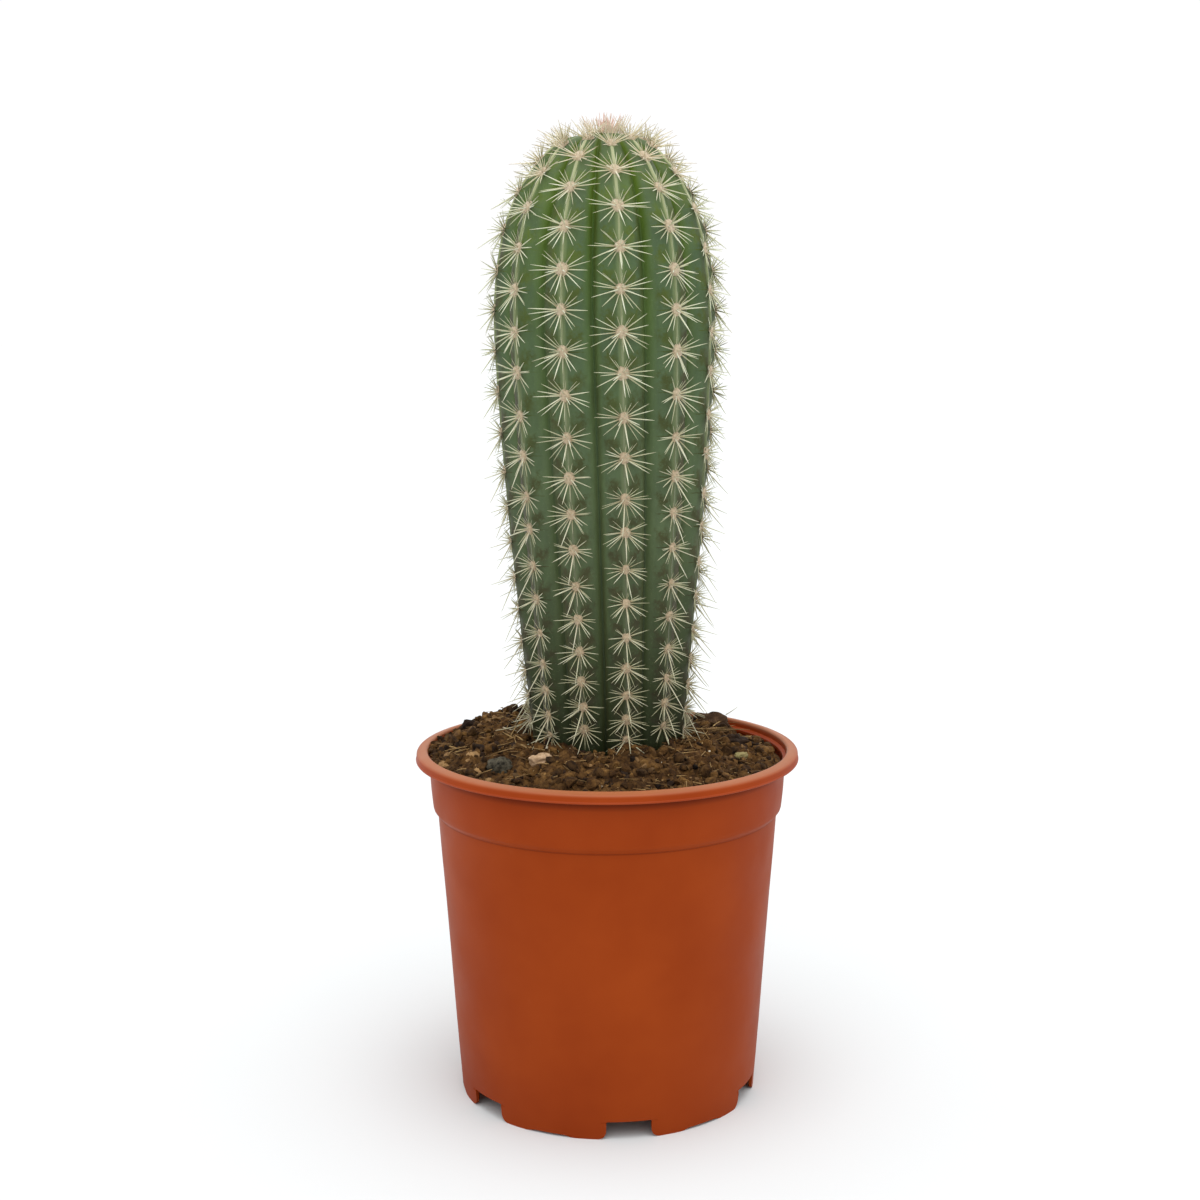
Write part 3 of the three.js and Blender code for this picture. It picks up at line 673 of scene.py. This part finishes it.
def needle_mesh(roots, directions, lengths, radii, bends, sides=5, stations=(0, 0.3, 0.65, 0.9, 1)):
    """Points, faces and the share along each for many tapered needles at once."""
    count = len(roots)
    t = np.array(stations)
    taper = np.array([max(0.16, (1 - v) ** 0.42) for v in stations])
    helper = np.where(np.abs(directions[:, 2:3]) < 0.9, [[0.0, 0.0, 1.0]], [[1.0, 0.0, 0.0]])
    u = unit(np.cross(directions, helper))
    v = np.cross(directions, u)
    turn = np.arange(sides) / sides * 2 * np.pi
    ring = np.cos(turn)[:, None] * u[:, None] + np.sin(turn)[:, None] * v[:, None]
    axis = roots[:, None] + directions[:, None] * (lengths[:, None] * t)[..., None]
    axis = axis + bends[:, None] * t[:, None] ** 2
    points = axis[:, :, None] + ring[:, None] * (radii[:, None] * taper)[..., None, None]
    per = len(t) * sides
    pattern = np.vstack([grid_faces(len(t), sides), per - sides + np.arange(4)])
    along = np.tile(np.repeat(t, sides), count)
    return points.reshape(-1, 3), copies(pattern, count, per), along, per


# Turns from straight up in degrees, length high on the stem and near the soil, rise out of the stem in
# degrees, thickness: the spines that lie round an areole, and those that stand out in its middle.
RADIALS = [
    ((4,), 0.0052, 0.0042, 34, 0.65),
    ((22, -20), 0.0062, 0.0046, 30, 0.65),
    ((42, -44), 0.0080, 0.0052, 24, 0.75),
    ((62, -62), 0.0098, 0.0062, 19, 0.9),
    ((79, -79), 0.0112, 0.0070, 16, 1.0),
    ((95, -95), 0.0116, 0.0073, 15, 1.0),
    ((112, -112), 0.0112, 0.0076, 16, 1.0),
    ((131, -131), 0.0104, 0.0074, 17, 1.0),
    ((152, -152), 0.0092, 0.0068, 19, 0.9),
    ((172,), 0.0082, 0.0064, 22, 0.8),
]
CENTRALS = [
    ((10,), 0.0070, 0.0056, 66, 0.9),
    ((70,), 0.0060, 0.0050, 70, 0.85),
    ((-84,), 0.0066, 0.0054, 68, 0.85),
    ((116, -116), 0.0082, 0.0112, 50, 1.1),
    ((181,), 0.0122, 0.0145, 40, 1.25),
]
SPINES = [(turn, *rest) for turns, *rest in RADIALS + CENTRALS for turn in turns]
SPINE_RADIUS = 0.00030
FINE_RADIUS = 0.00026
# Heights between which the spines change towards the soil, and get shorter, steeper and fresher in the crown.
LOWER_BETWEEN = (0.330, 0.230)
SHORTER_BETWEEN = (0.400, 0.416)
STEEPER_BETWEEN = (0.402, 0.420)
FRESHER_BETWEEN = (0.392, 0.414)
SHORTEST = 0.94
STEEPER_DEG = 28.0
FELT_HALF_WIDTH = 0.0028
FELT_HALF_LENGTH = 0.0032
FELT_HEIGHT = 0.0017
FELT_LUMP_SIZE = 0.0012
# Across and up, in half widths and heights of the felt line.
FELT_LINE_PROFILE = [(-1.0, -0.9), (-0.7, 0.55), (0.0, 1.0), (0.7, 0.55), (1.0, -0.9)]
CROWN_RADIUS = 0.0078
CROWN_COUNT = 110
CROWN_LENGTHS = (0.0050, 0.0094)
# Fallen spines: a short thin one by the bark at the back right, and three old ones at the left.
FALLEN = [
    ((0.0560, 0.044, 0.1600), (0.0618, 0.0445, 0.1632)),
    ((-0.0440, -0.002, 0.1640), (-0.0330, 0.006, 0.1660)),
    ((-0.0500, 0.003, 0.1620), (-0.0370, 0.000, 0.1650)),
    ((-0.0470, 0.010, 0.1620), (-0.0400, -0.004, 0.1630)),
]


def areole_frame(rib, height):
    """Foot point and the sideways, upward and outward directions at an areole."""
    run = run_at(height) + np.array([-0.001, 0.0, 0.001])
    behind, here, ahead = stem_surface(run, rib, np.zeros(3))
    up = unit(ahead - behind)
    azimuth = RIB_FIRST_AZIMUTH + rib * RIB_PITCH + twist(height)
    side = polar(1.0, azimuth + 90, 0.0)
    side = unit(side - up * np.dot(side, up))
    return here, side, up, np.cross(side, up)


def keep_of_rib(kind, rib, *mesh):
    """Adds and registers the spines or the felt of one rib."""
    number = f"{rib + 1:02d}"
    return keep(add_mesh(f"{kind}_{number}", *mesh), "spines", f"rib_spines_{number}")


def make_spines(rib, material):
    random = np.random.default_rng(4000 + rib)
    needles = []
    for height in AREOLES[rib % 2]:
        here, side, up, out = areole_frame(rib, height)
        low = share(height, *LOWER_BETWEEN)
        size = mix(1.0, SHORTEST, share(height, *SHORTER_BETWEEN))
        young = share(height, *STEEPER_BETWEEN)
        fresh = share(height, *FRESHER_BETWEEN)
        for turn, long_high, long_low, rise, thick in SPINES:
            chance = random.random()
            aim = math.radians(turn + random.normal(0, 5.0))
            tilt = math.radians(rise + STEEPER_DEG * young * (1 - rise / 90) + random.normal(0, 4.5))
            length = mix(long_high, long_low, low) * size * (1 + random.normal(0, 0.08))
            flat = side * math.sin(aim) + up * math.cos(aim)
            way = unit(flat * math.cos(tilt) + out * math.sin(tilt))
            inward = mix(0.8, 0.2, share(rise, 30, 55))
            spread = flat * FELT_HALF_WIDTH * inward * random.uniform(0.7, 1.0)
            bend = flat * random.normal(0.0, 0.04) - out * 0.02 + side * random.normal(0, 0.025)
            tone = random.random()
            # A few thin spines are missing.
            if chance < 0.06 and thick < 1.0:
                continue
            radius = SPINE_RADIUS * thick * (1 + random.normal(0, 0.08)) * mix(1.0, 0.8, max(young, low))
            if thick > 1.0:
                tone = mix(0.75, 1.0, tone)
            elif abs(turn) < 50 and rise < 50:
                tone = mix(0.0, 0.35, tone)
            else:
                tone = mix(0.1, 0.75, tone)
            youth = np.clip(fresh * 0.95 + random.normal(0, 0.08), 0, 1)
            needles.append((here + out * 0.0004 + spread, way, length, radius, bend * length, tone, youth))
    *shapes, tones, youths = (np.array(values) for values in zip(*needles))
    points, faces, along, per = needle_mesh(*shapes)
    attributes = {"along": along, "tone": np.repeat(tones, per), "young": np.repeat(youths, per)}
    return keep_of_rib("spines", rib, points, faces, material, attributes)


def felt_pad(rib, height, size, rings=8, around=16):
    """Points of the lumpy woolly pad of an areole, ring after ring from its foot to its top."""
    here, side, up, out = areole_frame(rib, height)
    tilt = (np.arange(rings) / (rings - 1) * np.pi / 2)[:, None]
    turn = np.arange(around) / around * 2 * np.pi
    s = np.cos(tilt) * np.sin(turn) * FELT_HALF_WIDTH * size
    u = np.cos(tilt) * np.cos(turn) * FELT_HALF_LENGTH * size
    h = np.sin(tilt) * FELT_HEIGHT * size + 0 * turn - 0.0002
    pad = s[..., None] * side + u[..., None] * up + h[..., None] * out
    lump = 1 + 0.20 * noise(here + pad, FELT_LUMP_SIZE, 31)
    return here + pad * lump[..., None]


def felt_line(rib):
    """Points of the felt line along a rib's crest, a low rounded ridge, and their heights."""
    marks = run_at(AREOLES[rib % 2])
    run = np.linspace(marks.min() - 0.002, marks.max() + 0.001, 150)
    height, radius = crest_at(run)[:2]
    width = mix(0.00038, 0.00052, share(height, 0.25, 0.35)) + 0.0002 * share(height, 0.38, 0.40)
    ridge = mix(0.00016, 0.00045, share(height, 0.22, 0.34))
    # The line dips under the pads.
    under = np.exp(-(((run[:, None] - marks) / FELT_HALF_LENGTH) ** 4)).sum(axis=1)
    wander = 0.00016 * noise(np.stack([run, run * 0, run * 0 + rib], axis=-1), 0.006, 3)
    strip = []
    for across, lift in FELT_LINE_PROFILE:
        offset = (across * width + wander) / (radius * math.radians(RIB_PITCH / 2))
        rise = swell_at(run, rib) + ridge * lift * (1 - under) - 0.0004 * under
        strip.append(stem_surface(run, rib, offset, rise))
    return np.stack(strip, axis=1), height


def make_felt(rib, material):
    """The woolly pads of a rib's areoles, and the felt line that joins them along the crest."""
    random = np.random.default_rng(5000 + rib)
    marks = AREOLES[rib % 2]
    sizes = mix(0.86, 1.04, random.random(len(marks))) * mix(0.97, 0.76, share(marks, *LOWER_BETWEEN))
    pads = np.stack([felt_pad(rib, height, size) for height, size in zip(marks, sizes)])
    count, rings, around, _ = pads.shape
    per = rings * around
    strip, height = felt_line(rib)
    points = np.vstack([pads.reshape(-1, 3), strip.reshape(-1, 3)])
    strip_faces = grid_faces(*strip.shape[:2], closed=False)[:, ::-1] + count * per
    faces = np.vstack([copies(grid_faces(rings, around), count, per), strip_faces])
    heights = [np.repeat(marks, per), np.repeat(height, strip.shape[1])]
    line = np.arange(len(points)) >= count * per
    attributes = {"line": line, "height": np.concatenate(heights)}
    return keep_of_rib("felt", rib, points, faces, material, attributes)


def make_crown(material):
    """The tuft of young spines in the middle of the crown."""
    random = np.random.default_rng(61)
    count = CROWN_COUNT
    place = random.random(count) ** 0.7 * CROWN_RADIUS
    azimuth = random.random(count) * 360
    roots = np.array([STEM_TOP_X, 0.0, STEM_TOP_Z + 0.0002]) + polar(place, azimuth, 0.0)
    roots[:, 2] -= 0.0004 * (place / CROWN_RADIUS) ** 2
    lean = np.radians(6 + 30 * place / CROWN_RADIUS + random.normal(0, 8, count))
    ways = unit(polar(np.sin(lean), azimuth + random.normal(0, 14, count), np.cos(lean)))
    lengths = random.uniform(*CROWN_LENGTHS, count)
    bends = random.normal(0, 0.0003, (count, 3))
    points, faces, along, per = needle_mesh(roots, ways, lengths, np.full(count, FINE_RADIUS), bends)
    tone = np.repeat(random.random(count), per)
    outer = np.repeat(smooth(place / CROWN_RADIUS * 2 - 0.9), per)
    made = add_mesh("crown_tuft", points, faces, material, {"along": along, "tone": tone, "outer": outer})
    return keep(made, "crown_spines", "crown_spines")


# Pot


def arc(centre, radius, start, end, steps):
    """Points of an arc in the radius and height plane, angles in degrees."""
    turn = np.radians(np.linspace(start, end, steps))
    return [(centre[0] + radius * math.cos(a), centre[1] + radius * math.sin(a)) for a in turn]


def pot_outline():
    """Outer wall upwards, hooked lip, ledge, inner wall down, floor and skirt."""
    top = POT_HEIGHT
    foot = FOOT_RADIUS - FOOT_WALL
    lip = [(r, top - down) for r, down in HOOK]
    lip += arc((RIM_RADIUS - 0.0003, LIP_BEAD_Z), 0.0005, -100, 60, 7)
    lip += [(RIM_RADIUS - 0.0001, LIP_BEAD_Z + 0.0006), (RIM_RADIUS - 0.0001, top - 0.0020)]
    lip += arc((RIM_RADIUS - 0.0014, top - 0.0016), 0.0013, 0, 76, 7)
    lip += arc((0.0810, top - 0.0009), 0.0012, 76, 165, 7)
    lip += [(r, top - down) for r, down in LIP_INSIDE]
    under = [(AXIS_RADIUS, FLOOR_TOP), (AXIS_RADIUS, FLOOR_UNDERSIDE), (foot - 0.001, FLOOR_UNDERSIDE)]
    under += [(foot, FLOOR_UNDERSIDE - 0.0006), (foot, 0.0)]
    return POT_WALL + lip + POT_INSIDE[::-1] + under


def foot_cutter(profile, azimuth, radius=FOOT_RADIUS, depth=FOOT_CUT_DEPTH):
    """A cutter across the foot ring: half a profile of (sideways, height) points, mirrored."""
    outline = profile + [(-x, z) for x, z in reversed(profile)]
    n = len(outline)
    points = [(x, y, z) for y in (-depth, depth) for x, z in outline]
    mesh = bpy.data.meshes.new("cutter")
    walls = [(n + i, n + (i + 1) % n, (i + 1) % n, i) for i in range(n)]
    mesh.from_pydata(points, [], walls + [tuple(range(n)), tuple(reversed(range(n, 2 * n)))])
    cutter = add_object("cutter", mesh)
    cutter.location = polar(radius, azimuth, 0.0)
    cutter.rotation_euler = (0, 0, math.radians(azimuth))
    return cutter


def drain_cutter(azimuth):
    bpy.ops.mesh.primitive_cylinder_add(radius=DRAIN_RADIUS, depth=0.006, vertices=40)
    cutter = bpy.context.object
    cutter.location = polar(DRAIN_CIRCLE, azimuth, FLOOR_TOP)
    return cutter


def make_pot(material):
    outline = np.array(pot_outline())
    azimuth = np.arange(POT_SIDES) / POT_SIDES * 360
    points = polar(outline[:, None, 0], azimuth, outline[:, None, 1])
    # The last row of faces runs back to the first row of points.
    faces = grid_faces(len(outline) + 1, POT_SIDES) % (len(outline) * POT_SIDES)
    pot = add_mesh("pot_shell", points, faces, material)
    cutters = []
    step = 360 / NOTCH_COUNT
    beyond = math.degrees((NOTCH_WIDTH / 2 + 0.0010) / NICK_RADIUS)
    for i in range(NOTCH_COUNT):
        at = NOTCH_FIRST_AZIMUTH + i * step
        cutters.append(foot_cutter(NOTCH_PROFILE, at))
        for corner in (at - beyond, at + beyond):
            cutters.append(foot_cutter(NICK_PROFILE, corner, NICK_RADIUS, NICK_DEPTH))
        cutters.append(foot_cutter(RELIEF_PROFILE, at + step / 2))
        cutters.append(drain_cutter(at))
    for cutter in cutters:
        cut = pot.modifiers.new("cut", "BOOLEAN")
        cut.operation = "DIFFERENCE"
        cut.object = cutter
        cut.solver = "EXACT"
    bpy.context.view_layer.update()
    shaped = pot.evaluated_get(bpy.context.evaluated_depsgraph_get())
    mesh = bpy.data.meshes.new_from_object(shaped)
    pot.modifiers.clear()
    pot.data = mesh
    for cutter in cutters:
        bpy.data.objects.remove(cutter)
    mesh.polygons.foreach_set("use_smooth", np.full(len(mesh.polygons), True))
    mesh.set_sharp_from_angle(angle=math.radians(32))
    return keep(pot, "pot", "pot")


# Soil


def edge_height(azimuth):
    """Height of the mound at the wall."""
    around = np.arange(len(SOIL_EDGE)) * 360 / len(SOIL_EDGE)
    return np.interp(azimuth, around, SOIL_EDGE, period=360)


def soil_top(x, y):
    """The mound of the soil with slow waves, as in the solid, with clods and crumbs on it."""
    radius = np.hypot(x, y)
    azimuth = np.degrees(np.arctan2(x, -y)) % 360
    t = np.clip((radius - SOIL_INNER) / (SOIL_OUTER - SOIL_INNER), 0, 1)
    mound = mix(SOIL_AT_STEM, edge_height(azimuth), t * t * (1 + MOUND_CURVE - MOUND_CURVE * t))
    waves = sum(np.sin(x * ax + y * ay + phase) for ax, ay, phase in SOIL_WAVES) / len(SOIL_WAVES)
    mound = mound + SOIL_ROUGH * waves * np.sin(np.pi * t)
    flat = np.stack([x, y, np.zeros_like(x)], axis=-1)
    clods = 1 - np.abs(noise(flat, CLOD_SIZE, 71))
    lumps = 1 - np.abs(noise(flat, LUMP_SIZE, 72))
    relief = CLOD_HEIGHT * (clods - 0.6) + LUMP_HEIGHT * (lumps - 0.5)
    relief = relief + CRUMB_HEIGHT * noise(flat, CRUMB_SIZE, 73) + GRAIN_HEIGHT * noise(flat, GRAIN_SIZE, 74)
    fade = np.clip((SOIL_OUTER - radius) / 0.006, 0.25, 1)
    settled = sum(high * np.exp(-(((azimuth - at) / half) ** 4)) for at, half, high in SOIL_SETTLED)
    return mound + relief * fade + settled * share(radius, SETTLED_FROM, SOIL_OUTER)


def make_ground(material):
    """The soil from the hole of the stem over its surface, down the wall and along the floor."""
    around, across = 640, 104
    azimuth = np.arange(around) / around * 360
    radii, heights = np.array(POT_INSIDE).T
    wall = np.interp(edge_height(azimuth), heights, radii) - SOIL_GAP
    radius = mix(HOLE_RADIUS, wall, np.linspace(0, 1, across)[:, None])
    top = polar(radius, azimuth, 0.0)
    top[..., 2] = soil_top(top[..., 0], top[..., 1])
    rows = [polar(HOLE_RADIUS, azimuth, HOLE_BOTTOM_Z), *top]
    for r, z in POT_INSIDE[-2::-1]:
        lift = FLOOR_GAP if z == FLOOR_TOP else 0.0
        rows.append(polar(r - SOIL_GAP, azimuth, z + lift))
    rows.append(polar(AXIS_RADIUS, azimuth, FLOOR_TOP + FLOOR_GAP))
    points = np.stack(rows)
    faces = grid_faces(len(rows), around)[:, ::-1]
    tone = 0.5 + 0.5 * fractal(points.reshape(-1, 3), 0.011, 3, 77)
    return keep(add_mesh("soil_ground", points, faces, material, {"tone": tone}), "soil", "soil")


def icosphere(level):
    """Points and triangles of a unit ball."""
    bpy.ops.mesh.primitive_ico_sphere_add(subdivisions=level, radius=1)
    obj = bpy.context.object
    points = np.array([v.co[:] for v in obj.data.vertices])
    faces = np.array([p.vertices[:] for p in obj.data.polygons])
    bpy.data.objects.remove(obj)
    return points, faces


def turned(points, turn, tilt):
    """Points tilted towards their own x, and then turned about the upright, angles in radians."""
    c, s = math.cos(tilt), math.sin(tilt)
    points = points @ np.array([[c, 0, s], [0, 1, 0], [-s, 0, c]]).T
    c, s = math.cos(turn), math.sin(turn)
    return points @ np.array([[c, -s, 0], [s, c, 0], [0, 0, 1]]).T


def scatter(name, count, sizes, material, seed, ball, flat=(0.6, 1.0), tones=(0.0, 1.0), where=None):
    """Many broken bits on the soil, each a ball knocked out of shape."""
    random = np.random.default_rng(seed)
    base, faces = ball
    points, shades = [], []
    for placed in range(count):
        radius = math.sqrt(random.uniform(BITS_RING[0] ** 2, BITS_RING[1] ** 2))
        azimuth = random.uniform(0, 360)
        if where:
            radius, azimuth = where[placed]
        size = mix(sizes[0], sizes[1], random.random() ** 2.4)
        stretch = np.array([1.0, random.uniform(0.55, 0.95), random.uniform(*flat)]) * size
        bit = base * (1 + 0.3 * noise(base + 13.1 * placed, 0.9, seed)[:, None])
        # Five flat broken faces.
        for _ in range(5):
            facing = unit(random.normal(0, 1, 3))
            beyond = np.maximum(bit @ facing - random.uniform(0.35, 0.75), 0)
            bit = bit - beyond[:, None] * facing
        turn = random.uniform(0, 2 * math.pi)
        bit = turned(bit * stretch, turn, random.normal(0, 0.4))
        at = polar(radius, azimuth, 0.0)
        at[2] = soil_top(at[0:1], at[1:2])[0] + stretch[2] / 4
        if radius > SOIL_OUTER:
            at[2] = max(at[2], LEDGE_Z + stretch[2])
        points.append(bit + at)
        shades.append(random.uniform(*tones))
    attributes = {"tone": np.repeat(shades, len(base))}
    faces = copies(faces, count, len(base))
    return keep(add_mesh(name, np.vstack(points), faces, material, attributes, False), "soil", "soil")


def make_fibres(material):
    """Loose strands of fibre, bark and old spines that lie on the soil, and the tangle at the stem's foot."""
    random = np.random.default_rng(91)
    loose, tangle = 230, 110
    count = loose + tangle
    radius = np.sqrt(random.uniform(FIBRES_RING[0] ** 2, FIBRES_RING[1] ** 2, count))
    azimuth = random.uniform(0, 360, count)
    rise = random.normal(0.0, 0.10, count)
    lengths = random.uniform(0.004, 0.013, count)
    radius[loose:] = random.uniform(*TANGLE_RING, tangle)
    azimuth[loose:] = random.choice([88, -84], tangle) + random.normal(0, 24, tangle)
    rise[loose:] = np.abs(random.normal(0.0, 0.42, tangle))
    lengths[loose:] = random.uniform(0.004, 0.010, tangle)
    roots = polar(radius, azimuth, 0.0)
    ways = polar(np.ones(count), random.uniform(0, 360, count), rise)
    ends = roots + ways * lengths[:, None]
    over = np.hypot(ends[:, 0], ends[:, 1]) > BITS_RING[1]
    lengths = np.where(over, lengths * 0.3, lengths)
    roots[:, 2] = soil_top(roots[:, 0], roots[:, 1]) + 0.0009
    bends = random.normal(0, 0.0012, (count, 3)) * [1, 1, 0.4]
    thick = random.uniform(0.00013, 0.00034, count)
    # The longest strand, from the stem to the right.
    roots[0] = (0.0355, -0.002, 0.1640)
    ways[0] = (0.975, 0.20, -0.09)
    lengths[0] = 0.0285
    thick[0] = 0.0004
    points, faces, _, per = needle_mesh(roots, unit(ways), lengths, thick, bends)
    attributes = {"tone": np.repeat(random.uniform(0.2, 1.0, count), per)}
    return keep(add_mesh("soil_fibres", points, faces, material, attributes), "soil", "soil")


def make_chip(name, at, size, turn, tilt, material, seed, tone, square, ragged, ball):
    """One larger piece of bark, charcoal or clod, as CHIPS gives it."""
    base, faces = ball
    cube = base / np.maximum(np.abs(base).max(axis=1, keepdims=True), 1e-6)
    lumps = 1 + 0.16 * noise(base, 0.8, seed) + ragged * noise(base, 0.34, seed + 1)
    shape = mix(base, cube, square) * lumps[:, None] * np.array(size)
    shape = turned(shape, math.radians(turn), math.radians(tilt)) + np.array(at)
    made = add_mesh(name, shape, faces, material, {"tone": np.full(len(base), tone)})
    return keep(made, "soil", "soil")


def make_soil():
    matter = {kind: soil_material(*look) for kind, look in MATTER.items()}
    ground = matter["ground"]
    make_ground(ground)
    coarse = icosphere(2)
    fine = icosphere(1)
    scatter("crumbs_brown", 760, (0.0010, 0.0038), ground, 101, coarse)
    scatter("crumbs_small", 2600, (0.0004, 0.0012), ground, 102, fine, flat=(0.5, 1.0))
    scatter("crumbs_dark", 330, (0.0006, 0.0026), matter["dark"], 103, coarse)
    scatter("crumbs_tan", 420, (0.0005, 0.0022), matter["tan"], 104, coarse, (0.3, 0.8), (0.0, 0.7))
    random = np.random.default_rng(110)
    ledge = [(random.uniform(*LEDGE_RING), random.uniform(*LEDGE_AZIMUTHS)) for _ in range(420)]
    scatter("crumbs_ledge", len(ledge), (0.0009, 0.0024), ground, 111, coarse, where=ledge)
    scatter("grains_pale", 46, (0.0004, 0.0009), matter["pale"], 105, fine, tones=(0.8, 1.0))
    make_fibres(matter["fibre"])
    ball = icosphere(4)
    for name, at, size, turn, tilt, kind, *rest in CHIPS:
        make_chip(name, at, size, turn, tilt, matter[kind], *rest, ball)


def fallen_spines(material):
    starts, stops = (np.array(ends) for ends in zip(*FALLEN))
    count = len(FALLEN)
    lengths = np.linalg.norm(stops - starts, axis=1)
    bends = np.array([[0, 0, 0.0006]] * count)
    radii = np.full(count, FINE_RADIUS)
    points, faces, along, _ = needle_mesh(starts, unit(stops - starts), lengths, radii, bends)
    attributes = {"along": along, "tone": np.full(len(along), 0.8), "young": np.zeros(len(along))}
    return keep(add_mesh("fallen_spines", points, faces, material, attributes), "spines")


# Stage


def make_stage():
    bpy.ops.mesh.primitive_plane_add(size=40)
    floor = bpy.context.object
    floor.name = "floor"
    s = Shader("white_floor", roughness=0.9, specular=0.1)
    s.colour(FLOOR_COLOUR)
    floor.data.materials.append(s.material)

    world = bpy.data.worlds.new("studio")
    bpy.context.scene.world = world
    world.use_nodes = True
    background = world.node_tree.nodes["Background"].inputs
    background["Color"].default_value = (1.0, 1.0, 1.0, 1)
    background["Strength"].default_value = WORLD_STRENGTH

    for name, (azimuth, elevation, strength, width) in SUNS.items():
        light = bpy.data.lights.new(name, "SUN")
        light.energy = strength
        light.angle = math.radians(width)
        e = math.radians(elevation)
        towards = polar(math.cos(e), azimuth, math.sin(e))
        add_object(name, light).rotation_euler = Vector(-towards).to_track_quat("-Z", "Y").to_euler()


def make_camera():
    camera = bpy.data.cameras.new("camera")
    camera.lens = CAMERA_LENS
    camera.sensor_width = SENSOR_WIDTH
    camera.clip_end = 60
    obj = add_object("camera", camera)
    obj.location = CAMERA_AT
    obj.rotation_euler = (math.radians(90 - CAMERA_PITCH), math.radians(CAMERA_ROLL), 0)
    bpy.context.scene.camera = obj


make_camera()
make_stage()
make_pot(pot_material())
make_soil()
make_stem(stem_material())
spines = spine_material()
felt = felt_material()
for rib_number in range(RIB_COUNT):
    make_felt(rib_number, felt)
    make_spines(rib_number, spines)
make_crown(crown_material())
fallen_spines(spines)

view = bpy.context.scene.view_settings
view.view_transform = "Standard"
view.look = "None"
